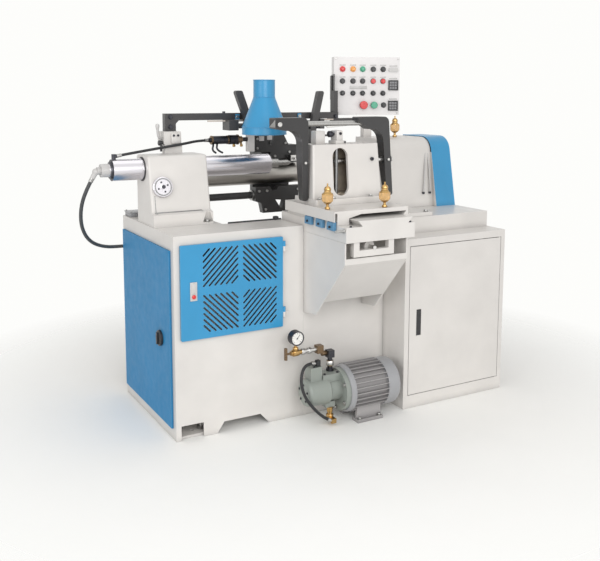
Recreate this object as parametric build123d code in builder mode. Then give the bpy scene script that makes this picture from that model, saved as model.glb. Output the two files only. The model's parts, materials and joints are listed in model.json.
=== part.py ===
"""Short-bed copying lathe in millimetres. X runs to the headstock along the spindle, -Y to the operator."""

import math
import os

from build123d import *

# Base, drawn about the centre of its anchor holes on the floor
BASE_LENGTH = 1590
BASE_DEPTH = 660
BED_HEIGHT = 850
SHEET = 6
FLOOR_PAN, CABINET_PAN = 70, 50
LEFT, RIGHT = -BASE_LENGTH / 2, BASE_LENGTH / 2
FRONT, BACK = -BASE_DEPTH / 2, BASE_DEPTH / 2
PEDESTAL_END = -206
CABINET_START = 216
CABINET_FRONT = -498
CABINET_LEDGE = 777
STEP_FRONT = -370
SLIDE_SEAT = 825
WELL_START = -495
WELL_FRONT = -130
WELL_TOP, WELL_LOW = 780, 430
ANCHOR_X, ANCHOR_Y = 705, 270
ANCHOR_RADIUS = 9
FOOT_PLATE = (150, 90, 12)
JACK_RADIUS = 10
JACK_OFFSET = 40
JACK_LENGTH = 40
SKIRT_NOTCH = [(-615, -1), (-583, 46), (-415, 46), (-371, -1)]
JACK_POCKET_X, JACK_POCKET_TOP = (-773, -675), 62

# Louvred front door, end cover and cabinet door
LOUVRE_X, LOUVRE_Z = (-771, -311), (421, 812)
LOUVRE_Y = (-341, -331)
LOUVRE_HINGE = (-304.5, -340)
LOUVRE_HINGE_Z = (485, 770)
KNUCKLE, KNUCKLE_RADIUS, PIN_RADIUS = 22, 6, 3
SLOT_COUNT, SLOT_WIDTH = 11, 8
SLOT_FIELD = 150
SLOT_CENTRE, SLOT_GAP = (-508, 619), (14, 20)
DOOR_SHEET = 3
END_COVER_Y, END_COVER_Z = (-298, 312), (48, 788)
END_COVER_X = (-804, -795)
END_KNOB = (-185, 403)
DOOR_X, DOOR_Z = (243, 769), (63, 742)
DOOR_DEPTH, DOOR_GAP = 18, 3
DOOR_PIVOT = (764, -494)
DOOR_HANDLE = (295, 394)
HANDLE_PIN = (CABINET_FRONT + 7, DOOR_HANDLE[1] + 50)

# Turning axis, shared by tailstock and headstock
AXIS_Y, AXIS_Z = 50, 1087
RUN = 0.05
QUILL_RADIUS = 46
QUILL_X = (-695, -181)
BARREL_X = (-925, -740)
CENTRE_TIP = -60
CENTRE_SHANK, CENTRE_BODY, CENTRE_NOSE = 12, 21, 13
TAIL_X = (-790, -522)
TAIL_TOP = 1147
TAIL_STEP = [(-92, 900), (-68, 908)]
TAIL_CROWN = (-25, TAIL_TOP)
TAIL_BACK = 128
HEAD_X = (377, 677)
HEAD_TOP = 1198
HEAD_FOOT_FRONT, GUARD_FOOT_FRONT = -98, -128
GUARD_END = 795
SPINDLE_RADIUS, SPINDLE_END = 30, 760
BEARING_RADIUS, BEARING_WIDTH = 55, 36
SPINDLE_PULLEY, MOTOR_PULLEY, GROOVE = 85, 60, 11
MOTOR_SHAFT = 19
MOTOR_Z = 420
PULLEY_X = (700, 752)

# Cross slide in front, with the tool head and the swing frame on it
SLIDE_X, SLIDE_Y = (-205, 130), (-676, -127)
SLIDE_TOP = 888
DOVE_LOW, DOVE_TOP, DOVE_LEAN = (-128, 96), 912, 0.9
SADDLE_X, SADDLE_Y, SADDLE_Z = (-220, 145), (-609, -190), (928, 945)
SADDLE_SEAT = SLIDE_TOP + 0.3
SADDLE_LEG, SADDLE_COVE = (-205, -151), -93
SKIRT_LOW, SLIT_X = 902, (-217, -206)
DOG_X, DOG_Z, DOG_LENGTH = (-221, -206), (866, 902), 52
CHEEK_RIGHT = 94
FEED_Z = 798
HEAD_BOX_Z = (970, 1197)
HEAD_FOOT, HEAD_CROWN = ((-198, 150), (-402, -262)), ((-190, 140), (-382, -265))
HEAD_WALL = 15
HEAD_FLANGE = ((-202, 160), (-437, -240))
WINDOW = (-58, 1080, 38, 203)
WINDOW_BAR = (-64, -363.5, 8)
PIVOT_Y, PIVOT_Z, PIVOT_RADIUS = -340, 1122, 12
ARM_LEFT, ARM_RIGHT, ARM_Y = (-233, -203), (201, 233), (-367, -313)
ARM_TOP, FINGER_LOW, ARM_FOOT = 1312, 1258, 960
ARM_TAPER, ARM_TAPER_START = 26, 1150
FINGER_TIP_LEFT, FINGER_TIP_RIGHT = -360, 48
RIGHT_ARM_LEAN = 26
TIE_ROD_Z, TIE_ROD_RADIUS = 1285, 11

# Copying gear behind the turning axis
BEAM_X, BEAM_Y, BEAM_Z, BEAM_RADIUS = (-720, 600), 245, 1019, 50
ROD_X, ROD_Y, ROD_Z, ROD_RADIUS = (-640, 450), 215, 920, 17
CARRIAGE_X = (-145, 60)
CARRIAGE_BACK = (300, 328)
SHOE_LEFT, SHOE_Y = -190, (170, 206)
SHOE_TOP, SHOE_LOW = 962, 835
ARM_FRONT, ARM_LOW, ARM_DECK = 198, 1074, 1130
TOOL_WAY_X, TOOL_WAY = (-95, -25), 20
TOOL_SLIDE_X, TOOL_SLIDE_Y = (-140, 34), (172, 318)
VALVE_BLOCK_X, VALVE_BLOCK_Y, VALVE_BLOCK_TOP = (-198, -118), (172, 232), 1211
RAIL_Y, RAIL_Z = (125, 156), (1290, 1321)
RAIL_X = (-657, 246)
RAIL_LEG_WIDTH, RAIL_LEG_LOW = 52, 1243
LEVER_Y, LEVER_Z, LEVER_RADIUS = 100, 1262, 12
LEVER_SHAFT_X = (-340, 144)
LEVER_THICK, LEVER_TOP, LEVER_LOW = (87, 113), 1424, 1150
LEVER_BEARINGS = ((-366, -318), (116, 140))
HOOD_X, HOOD_Y = -267, -80
HOOD_NECK, HOOD_SKIRT, HOOD_SHEET = 48, 99, 3
HOOD_Z = (1231, 1264, 1395, 1472)
STRAP_X, STRAP_Y, STRAP_Z = (-316, 58), (119, RAIL_Y[0]), (1281, 1291)

# Control panel, turned towards the operator
PANEL_TURN = 22
PANEL_WIDTH, PANEL_HEIGHT, PANEL_DEPTH = 335, 288, 75
PANEL_SHEET = 3
PANEL_CORNER = (241, 160, 1305)
COLUMNS = (43, 96, 145, 199, 249)
LOWER_SHIFT = 5
DISPLAY_COLUMN, DISPLAY_WIDTH = 302, 46
ROWS = (228, 169, 109, 50)
BEZEL, BUTTON_REST = 5, 10
BUTTON_RADIUS, STEM_RADIUS = 9, 6

# Hydraulic unit on the floor in front of the base
PUMP_Y, PUMP_Z = -445, 138
PUMP_X = (-268, -105)
PUMP_BODY_Z = PUMP_Z + 10
MOTOR_X = (-83, 172)
MOTOR_BODY, MOTOR_COWL = 92, 104
FIN_COUNT = 28
GAUGE = (-290, -415, 388)
MANIFOLD_Z = 322
RISER = (-129, -430)

# Hoses: outside diameter and route
QUILL_HOSE = 16
QUILL_HOSE_ROUTE = [(-1003, 55, 1058), (-1034, 68, 996), (-1046, 105, 916), (-1028, 165, 828),
                    (-976, 238, 754), (-894, 306, 712), (-800, 360, 698), (-738, 378, 695)]
VALVE_HOSE = 12
VALVE_HOSE_ROUTE = [(-898, 50, 1147), (-810, 52, 1160), (-706, 60, 1174), (-585, 72, 1189),
                    (-505, 124, 1197), (-446, 140, 1197)]
PUMP_HOSE = 13
PUMP_HOSE_ROUTE = [(-218, -452, 274), (-258, -460, 282), (-292, -474, 258), (-304, -488, 205),
                   (-288, -500, 145), (-242, -507, 86), (-198, -507, 46), (-166, -500, 28)]

TURN = {"X": (0, 90, 0), "Y": (-90, 0, 0), "Z": (0, 0, 0)}
AWAY = {"X": (0, -1, 0), "Y": (1, 0, 0), "Z": (0, -1, 0)}
ALONG = {"X": (1, 0, 0), "Y": (0, 1, 0), "Z": (0, 0, 1)}

os.makedirs("parts", exist_ok=True)


def save(builder, name):
    """Labels a finished piece and writes it."""
    builder.part.label = name
    export_step(builder.part, f"parts/{name}.step")


def block(x, y, z, mode=Mode.ADD):
    """A block between low and high values on each axis."""
    with Locations(((x[0] + x[1]) / 2, (y[0] + y[1]) / 2, (z[0] + z[1]) / 2)):
        Box(x[1] - x[0], y[1] - y[0], z[1] - z[0], mode=mode)


def rod(axis, start, length, radius, mode=Mode.ADD):
    """A round bar from a point along one axis."""
    with Locations(start):
        Cylinder(radius, length, rotation=TURN[axis], align=(Align.CENTER, Align.CENTER, Align.MIN), mode=mode)


def slab(plane, outline, thickness, mode=Mode.ADD, rounds=()):
    """An outline on a plane, with some corners rounded, given a thickness along the plane's normal."""
    with BuildSketch(plane) as face:
        with BuildLine():
            Polyline(*outline, close=True)
        make_face()
        for corner, radius in rounds:
            fillet(face.vertices().sort_by_distance(corner)[0], radius)
    extrude(face.sketch, amount=thickness, mode=mode)


def front_slab(y, outline, mode=Mode.ADD, rounds=()):
    """An outline seen from the front, as (x, z) points, between two depths."""
    slab(Plane.XZ.offset(-y[1]), outline, y[1] - y[0], mode, rounds)


def side_slab(x, outline, mode=Mode.ADD, rounds=()):
    """An outline seen from the end, as (y, z) points, between two lengths."""
    slab(Plane.YZ.offset(x[0]), outline, x[1] - x[0], mode, rounds)


def turned(axis, origin, profile, mode=Mode.ADD):
    """A turned piece from (distance along the axis, radius) points."""
    with BuildSketch(Plane(origin=origin, x_dir=ALONG[axis], z_dir=AWAY[axis])) as face:
        with BuildLine():
            Polyline(*profile, close=True)
        make_face()
    revolve(face.sketch, axis=Axis(origin, ALONG[axis]), mode=mode)


def tapered_box(foot, crown, z, corner, inset=0, mode=Mode.ADD):
    """A casting with draft: a rounded rectangle below that tapers to another above."""
    sections = []
    for (x, y), height in zip((foot, crown), z):
        with BuildSketch(Plane.XY.offset(height)) as section:
            with Locations(((x[0] + x[1]) / 2, (y[0] + y[1]) / 2)):
                RectangleRounded(x[1] - x[0] - 2 * inset, y[1] - y[0] - 2 * inset, corner)
        sections.append(section.sketch)
    loft(sections, mode=mode)


def hose(name, diameter, route):
    """A hose along straight runs joined by arcs as large as the runs allow."""
    points = [Vector(*p) for p in route]
    runs = [b - a for a, b in zip(points, points[1:])]
    turns = [a.get_angle(b) for a, b in zip(runs, runs[1:])]
    shorter = [min(a.length, b.length) for a, b in zip(runs, runs[1:])]
    radii = [0.45 * run / math.tan(math.radians(turn / 2)) for run, turn in zip(shorter, turns)]
    with BuildPart() as tube:
        with BuildLine() as path:
            FilletPolyline(*route, radius=radii)
        with BuildSketch(Plane(origin=route[0], z_dir=runs[0])):
            Circle(diameter / 2)
        sweep()
    length = sum(edge.length for edge in path.edges())
    print(name, "is", round(length), "long and bends at", round(min(radii)), "or more")
    save(tube, name)


def stub(end, beyond, radius, length):
    """A hose fitting that ends square to the hose at one end of its route."""
    with BuildSketch(Plane(origin=end, z_dir=Vector(*beyond) - Vector(*end))) as face:
        Circle(radius)
    extrude(face.sketch, amount=-length)


def chute(y):
    """Height of the sloping chip chute at a depth."""
    return WELL_TOP + (WELL_LOW - WELL_TOP) * (y - WELL_FRONT) / (BACK - WELL_FRONT)


def bed_outline(top, inset=0, low=0):
    """Cross-section of the base under the chip chute, with its walls moved in by inset."""
    drop = inset * math.hypot(BACK - WELL_FRONT, WELL_TOP - WELL_LOW) / (BACK - WELL_FRONT)
    front, rear, well = FRONT + inset, BACK - inset, WELL_FRONT - inset
    return [(front, low), (rear, low), (rear, chute(rear) - drop), (well, chute(well) - drop),
            (well, top - inset), (front, top - inset)]


def foot_plate(x, y):
    """A foot plate on the floor with its anchor hole and its jack-screw hole."""
    length, width, thick = FOOT_PLATE
    wall = math.copysign(RIGHT - SHEET, x)
    ends = sorted((wall, wall - math.copysign(length, x)))
    block(ends, (y - width / 2, y + width / 2), (0, thick))
    rod("Z", (x, y, -1), thick + 2, ANCHOR_RADIUS, Mode.SUBTRACT)
    rod("Z", (x - math.copysign(JACK_OFFSET, x), y, -1), thick + 2, JACK_RADIUS, Mode.SUBTRACT)


# Left pedestal: welded sheet cabinet under the tailstock, with the louvre opening and the chip chute
THROUGH_FRONT = (FRONT - 1, FRONT + SHEET + 1)
with BuildPart() as left_pedestal:
    block((LEFT, WELL_START), (FRONT, BACK), (0, BED_HEIGHT))
    side_slab((WELL_START, PEDESTAL_END), bed_outline(BED_HEIGHT))
    block((LEFT + SHEET, WELL_START - SHEET), (FRONT + SHEET, BACK - SHEET),
          (FLOOR_PAN, BED_HEIGHT - SHEET), Mode.SUBTRACT)
    side_slab((WELL_START - SHEET, PEDESTAL_END - SHEET), bed_outline(BED_HEIGHT, SHEET, FLOOR_PAN),
              Mode.SUBTRACT)
    block((LEFT + SHEET, PEDESTAL_END - SHEET), (FRONT + SHEET, BACK - SHEET), (-1, FLOOR_PAN - SHEET),
          Mode.SUBTRACT)
    block((LOUVRE_X[0] + 22, LOUVRE_X[1] - 22), THROUGH_FRONT, (LOUVRE_Z[0] + 20, LOUVRE_Z[1] - 20),
          Mode.SUBTRACT)
    block((LEFT - 1, LEFT + SHEET + 1), (END_COVER_Y[0] + 24, END_COVER_Y[1] - 24),
          (FLOOR_PAN + 20, END_COVER_Z[1] - 30), Mode.SUBTRACT)
    front_slab(THROUGH_FRONT, SKIRT_NOTCH, Mode.SUBTRACT)
    block(JACK_POCKET_X, THROUGH_FRONT, (-1, JACK_POCKET_TOP), Mode.SUBTRACT)
    for side in (-1, 1):
        foot_plate(-ANCHOR_X, side * ANCHOR_Y)
    for z in LOUVRE_HINGE_Z:
        x, y = LOUVRE_HINGE
        block((x + 3, x + 26), (y + 7, FRONT), (z - KNUCKLE, z))
        block((x + 3, x + 7), (y, FRONT), (z - KNUCKLE, z))
        rod("Z", (x, y, z - KNUCKLE), KNUCKLE, KNUCKLE_RADIUS)
        rod("Z", (x, y, z), KNUCKLE - 2, PIN_RADIUS)
save(left_pedestal, "left_pedestal")

# Bridge: the open sheet trough between the two cabinets, with the seat of the cross slide on top
with BuildPart() as bridge_frame:
    side_slab((PEDESTAL_END, CABINET_START), bed_outline(SLIDE_SEAT))
    side_slab((PEDESTAL_END, CABINET_START), bed_outline(SLIDE_SEAT, SHEET, -1), Mode.SUBTRACT)
save(bridge_frame, "bridge_frame")


def cabinet_outline(inset, low):
    """End view of the stepped right cabinet with its walls moved in by inset."""
    front, step, rear = CABINET_FRONT + inset, STEP_FRONT + inset, BACK - inset
    ledge, top = CABINET_LEDGE - inset, BED_HEIGHT - inset
    return [(front, low), (rear, low), (rear, top), (step, top), (step, ledge), (front, ledge)]


# Right cabinet: motor compartment under the headstock, stepped forward beside the cross slide
INSIDE_X = (CABINET_START + SHEET, RIGHT - SHEET)
with BuildPart() as right_cabinet:
    side_slab((CABINET_START, RIGHT), cabinet_outline(0, 0))
    side_slab(INSIDE_X, cabinet_outline(SHEET, CABINET_PAN), Mode.SUBTRACT)
    block(INSIDE_X, (CABINET_FRONT + SHEET, BACK - SHEET), (-1, CABINET_PAN - SHEET), Mode.SUBTRACT)
    block((DOOR_X[0] - DOOR_GAP, DOOR_X[1] + DOOR_GAP), (CABINET_FRONT - 1, CABINET_FRONT + SHEET + 1),
          (DOOR_Z[0] - DOOR_GAP, DOOR_Z[1] + DOOR_GAP), Mode.SUBTRACT)
    block((PULLEY_X[0] - 12, PULLEY_X[1] + 12), (AXIS_Y - 92, AXIS_Y + 92),
          (BED_HEIGHT - SHEET - 1, BED_HEIGHT + 1), Mode.SUBTRACT)
    for z in (DOOR_Z[0] - DOOR_GAP - 14, DOOR_Z[1] + DOOR_GAP):
        block((DOOR_PIVOT[0] - 14, DOOR_PIVOT[0] + 14), (CABINET_FRONT + SHEET, CABINET_FRONT + DOOR_DEPTH),
              (z, z + 14))
        rod("Z", (*DOOR_PIVOT, z - 1), 16, PIN_RADIUS + RUN, Mode.SUBTRACT)
    for side in (-1, 1):
        foot_plate(ANCHOR_X, side * ANCHOR_Y)
save(right_cabinet, "right_cabinet")

# Jack screws: a screw with a lock nut at each foot plate
with BuildPart() as levelling_screws:
    for sx in (-1, 1):
        for sy in (-1, 1):
            spot = (sx * (ANCHOR_X - JACK_OFFSET), sy * ANCHOR_Y)
            rod("Z", (*spot, 0), JACK_LENGTH, JACK_RADIUS)
            with BuildSketch(Plane.XY.offset(FOOT_PLATE[2])):
                with Locations(spot):
                    RegularPolygon(17, 6)
            extrude(amount=16)
save(levelling_screws, "levelling_screws")

# Slide bracket: two cheeks and an undercut apron that carry the cross slide in front of the base
CHEEK_OUTLINE = [(FRONT, SLIDE_SEAT), (-666, SLIDE_SEAT), (-666, 736), (-437, 480), (FRONT, 470)]
APRON = [(-666, 736), (-495, 548), (-490, 552), (-661, 740), (-661, 760), (-666, 760)]
with BuildPart() as slide_bracket:
    for x in (SLIDE_X[0], CHEEK_RIGHT):
        side_slab((x, x + SHEET), CHEEK_OUTLINE)
    side_slab((SLIDE_X[0], CHEEK_RIGHT), APRON)
save(slide_bracket, "slide_bracket")


def flanks(z):
    """Left and right X of the dovetail at a height."""
    spread = DOVE_LEAN * (z - SLIDE_TOP)
    return DOVE_LOW[0] - spread, DOVE_LOW[1] + spread


# Cross slide base with its male dovetail
with BuildPart() as slide_base:
    block(SLIDE_X, SLIDE_Y, (SLIDE_SEAT, SLIDE_TOP))
    left, right = flanks(DOVE_TOP)
    front_slab(SLIDE_Y, [(DOVE_LOW[0], SLIDE_TOP), (DOVE_LOW[1], SLIDE_TOP), (right, DOVE_TOP),
                         (left, DOVE_TOP)])
save(slide_base, "slide_base")

# Feed cylinder under the cross slide, held by a U bracket at the front
with BuildPart() as feed_cylinder:
    block((-167, 28), (-672, -645), (765, SLIDE_SEAT))
    block((-140, 1), (-673, -644), (792, SLIDE_SEAT + 1), Mode.SUBTRACT)
    turned("Y", (-69, 0, FEED_Z), [(-676, 0), (-676, 8), (-636, 8), (-636, 24), (-340, 24), (-340, 0)])
save(feed_cylinder, "feed_cylinder")

# Saddle: plate with two dovetail legs, the left one with its gib and a slit behind its skirt
low, high = SADDLE_SEAT, SADDLE_Z[0]
LEFT_LEG = [(SADDLE_LEG[0], low), (SADDLE_LEG[1], low), (SADDLE_LEG[1], DOVE_TOP + 2), (SADDLE_COVE, high),
            (SADDLE_LEG[0], high)]
RIGHT_LEG = [(flanks(low)[1] + 1, low), (SADDLE_X[1], low), (SADDLE_X[1], high), (flanks(high)[1] + 1, high)]
GIB = [(SADDLE_LEG[1], low), (flanks(low)[0] - 1, low), (flanks(DOVE_TOP)[0] - 1, DOVE_TOP),
       (SADDLE_LEG[1], DOVE_TOP)]
with BuildPart() as saddle:
    block(SADDLE_X, SADDLE_Y, SADDLE_Z)
    front_slab(SADDLE_Y, LEFT_LEG)
    front_slab(SADDLE_Y, RIGHT_LEG)
    block((SADDLE_X[0], SADDLE_LEG[0]), SADDLE_Y, (SKIRT_LOW, high))
    front_slab((SADDLE_Y[0] + 24, SADDLE_Y[1]), GIB)
    fillet(saddle.edges().filter_by(Axis.Z).group_by(Axis.Y)[0].sort_by(Axis.X)[-1], 5)
    block(SLIT_X, (SADDLE_Y[0] - 1, SADDLE_Y[0] + 70), (SKIRT_LOW - 1, SADDLE_Z[1] - 8), Mode.SUBTRACT)
save(saddle, "saddle")

# Trip dogs clamped under the skirt of the saddle
DOG = [(DOG_X[0], DOG_Z[0]), (DOG_X[1], DOG_Z[0]), (DOG_X[1], DOG_Z[1]), (DOG_X[0] + 6, DOG_Z[1]),
       (DOG_X[0], DOG_Z[1] - 8)]
with BuildPart() as trip_dogs:
    for y in (-575, -485, -392):
        front_slab((y - DOG_LENGTH / 2, y + DOG_LENGTH / 2), DOG)
save(trip_dogs, "trip_dogs")


def oiler(x, y, z):
    """A sight-feed oiler: stem, round glass bowl, neck and needle cap."""
    turned("Z", (x, y, z), [(0, 0), (0, 6), (20, 6), (25, 14), (33, 22), (41, 24), (60, 24), (66, 18),
                            (74, 13), (90, 12), (94, 7), (94, 3), (106, 3), (106, 0)])


with BuildPart() as saddle_oilers:
    for spot in ((-206, -530), (36, -588)):
        oiler(*spot, SADDLE_Z[1])
save(saddle_oilers, "saddle_oilers")

# Tool head: hollow casting with draft and an obround window, on a flange bolted to the saddle
CAVITY_Z = (HEAD_BOX_Z[0] + HEAD_WALL, HEAD_BOX_Z[1] - HEAD_WALL)
with BuildPart() as tool_head:
    (left, right), (front, rear) = HEAD_FLANGE
    block((left, right), (front, rear), (SADDLE_Z[1], HEAD_BOX_Z[0]))
    fillet(tool_head.edges().filter_by(Axis.Z), 10)
    tapered_box(HEAD_FOOT, HEAD_CROWN, HEAD_BOX_Z, 8)
    tapered_box(HEAD_FOOT, HEAD_CROWN, CAVITY_Z, 4, HEAD_WALL, Mode.SUBTRACT)
    with BuildSketch(Plane.XZ.offset(-HEAD_CROWN[1][0] - 20)):
        with Locations(WINDOW[:2]):
            SlotOverall(WINDOW[3], 2 * WINDOW[2], rotation=90)
    extrude(amount=60, mode=Mode.SUBTRACT)
    head_length = HEAD_FOOT[0][1] - HEAD_FOOT[0][0]
    rod("X", (HEAD_FOOT[0][0] - 1, PIVOT_Y, PIVOT_Z), head_length + 2, PIVOT_RADIUS + RUN, Mode.SUBTRACT)
    rod("Z", (*WINDOW_BAR[:2], CAVITY_Z[0] - 2), CAVITY_Z[1] - CAVITY_Z[0] + 4, WINDOW_BAR[2])
save(tool_head, "tool_head")


def arm(leg, tip, beak, lean):
    """One arm: a leg that may lean at its top, and a finger towards -X that thins to a beak."""
    inner = leg[0] - lean
    inside, outside = (inner, FINGER_LOW), (leg[1] - lean, ARM_TOP)
    end = (tip, ARM_TOP), (tip, ARM_TOP - beak)
    foot = (leg[0], ARM_FOOT), (leg[1], ARM_FOOT)
    outline = [*foot, outside, *end, (tip + 60, FINGER_LOW), inside]
    rounds = [(inside, 55), (outside, 26), (end[0], 6), (end[1], 6), (foot[0], 12), (foot[1], 12)]
    front_slab(ARM_Y, outline, rounds=rounds)


# Swing frame: two inverted L arms on a pivot shaft, thinner below it, with a tie rod through their fingers
RIGHT_SHIFT = RIGHT_ARM_LEAN * (PIVOT_Z - ARM_FOOT) / (ARM_TOP - ARM_FOOT)
PIVOT_RIGHT = (ARM_RIGHT[0] - RIGHT_SHIFT, ARM_RIGHT[1] - RIGHT_SHIFT)
ARM_BACK = [(ARM_Y[1] + 1, ARM_TAPER_START), (ARM_Y[1] + 1, ARM_FOOT - 1),
            (ARM_Y[1] - ARM_TAPER, ARM_FOOT - 1)]
with BuildPart() as swing_frame:
    arm(ARM_LEFT, FINGER_TIP_LEFT, 44, 0)
    arm(ARM_RIGHT, FINGER_TIP_RIGHT, 18, RIGHT_ARM_LEAN)
    side_slab((ARM_LEFT[0] - 1, ARM_RIGHT[1] + 1), ARM_BACK, Mode.SUBTRACT)
    rod("X", (FINGER_TIP_LEFT + 6, PIVOT_Y, TIE_ROD_Z), PIVOT_RIGHT[0] - FINGER_TIP_LEFT, TIE_ROD_RADIUS)
    rod("Y", (FINGER_TIP_LEFT + 20, ARM_Y[0] - 3, TIE_ROD_Z), 12, 13)
    rod("X", (ARM_LEFT[0] + 4, PIVOT_Y, PIVOT_Z), PIVOT_RIGHT[1] - ARM_LEFT[0] + 12, PIVOT_RADIUS)
    for x, width, radius in ((ARM_LEFT[1] - 1, 4, 24), (PIVOT_RIGHT[0] - 8, 10, 19),
                             (PIVOT_RIGHT[1] - 2, 14, 17)):
        rod("X", (x, PIVOT_Y, PIVOT_Z), width, radius)
save(swing_frame, "swing_frame")

# Plane of the quill clamp on the leaning front of the tailstock
TAIL_RUN, TAIL_RISE = TAIL_CROWN[0] - TAIL_STEP[1][0], TAIL_CROWN[1] - TAIL_STEP[1][1]
TAIL_LEAN = math.atan2(TAIL_RUN, TAIL_RISE)
CLAMP_NORMAL = (0, -math.cos(TAIL_LEAN), math.sin(TAIL_LEAN))
CLAMP_X, CLAMP_Z = -736, 1015
CLAMP_Y = TAIL_STEP[1][0] + (CLAMP_Z - TAIL_STEP[1][1]) * TAIL_RUN / TAIL_RISE
CLAMP = Plane(origin=(CLAMP_X, CLAMP_Y, CLAMP_Z), x_dir=(1, 0, 0), z_dir=CLAMP_NORMAL)

# Tailstock casting: leaning front over a stepped foot, bolt niche, and bosses for the beam and the guide rod
TAIL_OUTLINE = [(TAIL_STEP[0][0], BED_HEIGHT), (TAIL_BACK, BED_HEIGHT), (TAIL_BACK, TAIL_TOP), TAIL_CROWN,
                TAIL_STEP[1], TAIL_STEP[0]]
with BuildPart() as tailstock_body:
    side_slab(TAIL_X, TAIL_OUTLINE, rounds=[(TAIL_CROWN, 16), ((TAIL_BACK, TAIL_TOP), 16)])
    ends = tailstock_body.faces().filter_by(Axis.X).edges()
    fillet(ends.filter_by(lambda edge: edge.center().Z > TAIL_STEP[1][1]), 9)
    block((-700, -560), (TAIL_BACK - 5, 240), (890, 968))
    block((BEAM_X[0] + 10, -560), (TAIL_BACK - 5, BEAM_Y), (985, 1053))
    rod("X", (BEAM_X[0], BEAM_Y, BEAM_Z), 200, BEAM_RADIUS, Mode.SUBTRACT)
    rod("X", (TAIL_X[0] - 1, AXIS_Y, AXIS_Z), TAIL_X[1] - TAIL_X[0] + 2, QUILL_RADIUS + RUN, Mode.SUBTRACT)
    rod("X", (ROD_X[0], ROD_Y, ROD_Z), 90, ROD_RADIUS, Mode.SUBTRACT)
    with BuildSketch(CLAMP.offset(1)):
        Circle(8 + RUN)
    extrude(amount=-28, mode=Mode.SUBTRACT)
    with Locations((-546, TAIL_STEP[0][0], BED_HEIGHT + 8)):
        Cone(24, 2, 66, align=(Align.CENTER, Align.CENTER, Align.MIN), mode=Mode.SUBTRACT)
    with BuildSketch(CLAMP.offset(1)):
        with Locations((-36, -76)):
            Rectangle(3, 64)
    extrude(amount=-3, mode=Mode.SUBTRACT)
save(tailstock_body, "tailstock_body")

# Quill cylinder: the fixed barrel behind the tailstock, with its hose gland
BARREL = BARREL_X[1] - BARREL_X[0]
with BuildPart() as quill_cylinder:
    turned("X", (BARREL_X[0], AXIS_Y, AXIS_Z), [(-61, 0), (-61, 16), (-46, 16), (-46, 28), (-8, 29),
                                                (-8, 36), (0, 38), (0, QUILL_RADIUS),
                                                (BARREL, QUILL_RADIUS), (BARREL, 0)])
    stub(QUILL_HOSE_ROUTE[0], QUILL_HOSE_ROUTE[1], 11, 24)
    with Locations((-990, AXIS_Y + 1, AXIS_Z - 4)):
        Sphere(15)
    stub(VALVE_HOSE_ROUTE[0], VALVE_HOSE_ROUTE[1], 8, 16)
    rod("Z", (-913, AXIS_Y, AXIS_Z + 30), 38, 9)
save(quill_cylinder, "quill_cylinder")

# Quill and the revolving centre in its nose
NOSE = QUILL_X[1]
with BuildPart() as quill:
    turned("X", (0, AXIS_Y, AXIS_Z), [(QUILL_X[0], 0), (QUILL_X[0], QUILL_RADIUS), (NOSE - 6, QUILL_RADIUS),
                                      (NOSE, QUILL_RADIUS - 6), (NOSE, 0)])
    rod("X", (NOSE - 60, AXIS_Y, AXIS_Z), 61, CENTRE_SHANK + RUN, Mode.SUBTRACT)
save(quill, "quill")

with BuildPart() as live_centre:
    turned("X", (0, AXIS_Y, AXIS_Z), [(NOSE - 55, 0), (NOSE - 55, CENTRE_SHANK), (NOSE + 2, CENTRE_SHANK),
                                      (NOSE + 2, CENTRE_BODY), (NOSE + 46, CENTRE_BODY), (NOSE + 50, CENTRE_NOSE),
                                      (CENTRE_TIP - 22, CENTRE_NOSE), (CENTRE_TIP, 0)])
save(live_centre, "live_centre")

# Quill clamp: a turned knob on the leaning front of the tailstock
with BuildPart() as quill_clamp_knob:
    with BuildSketch(CLAMP.offset(0.6)):
        Circle(44)
    extrude(amount=13)
    chamfer(quill_clamp_knob.faces().sort_by(Axis(CLAMP.origin, CLAMP_NORMAL))[-1].edges(), 3)
    with BuildSketch(CLAMP.offset(13.6)):
        Circle(11)
    extrude(amount=6)
    with BuildSketch(CLAMP.offset(0.6)):
        Circle(8)
    extrude(amount=-25)
save(quill_clamp_knob, "quill_clamp_knob")


def shell_sketch(x, foot, inset=0):
    """The rounded end view shared by the headstock and its belt guard, whose front foot is at a depth."""
    with BuildSketch(Plane.YZ.offset(x)) as sketch:
        with BuildLine():
            Polyline((foot, BED_HEIGHT), (AXIS_Y + 150 - inset, BED_HEIGHT),
                     (AXIS_Y + 120 - inset, HEAD_TOP - inset),
                     (AXIS_Y - 112 + inset, HEAD_TOP - inset), close=True)
        make_face()
        top = sketch.vertices().group_by(Axis.Y)[-1].sort_by(Axis.X)
        fillet(top[0], 80 - inset)
        fillet(top[-1], 25 - inset)
    return sketch.sketch


# Headstock casting with its bearing seats and a foot flange in front
HEAD_LENGTH = HEAD_X[1] - HEAD_X[0]
with BuildPart() as headstock_body:
    extrude(shell_sketch(HEAD_X[0], HEAD_FOOT_FRONT, 4), amount=HEAD_LENGTH)
    block((240, 463), (STEP_FRONT + 4, AXIS_Y - 140), (BED_HEIGHT, BED_HEIGHT + 18))
    block((395, 480), (AXIS_Y + 120, 240), (890, 968))
    block((395, BEAM_X[1] - 10), (AXIS_Y + 120, BEAM_Y), (985, 1053))
    rod("X", (394, BEAM_Y, BEAM_Z), BEAM_X[1] - 394, BEAM_RADIUS, Mode.SUBTRACT)
    rod("X", (HEAD_X[0] - 1, AXIS_Y, AXIS_Z), HEAD_LENGTH + 2, SPINDLE_RADIUS + 6, Mode.SUBTRACT)
    for x in (HEAD_X[0] - 1, HEAD_X[1] - 40):
        rod("X", (x, AXIS_Y, AXIS_Z), 41, BEARING_RADIUS, Mode.SUBTRACT)
    rod("X", (394, ROD_Y, ROD_Z), 60, ROD_RADIUS, Mode.SUBTRACT)
save(headstock_body, "headstock_body")

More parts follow.
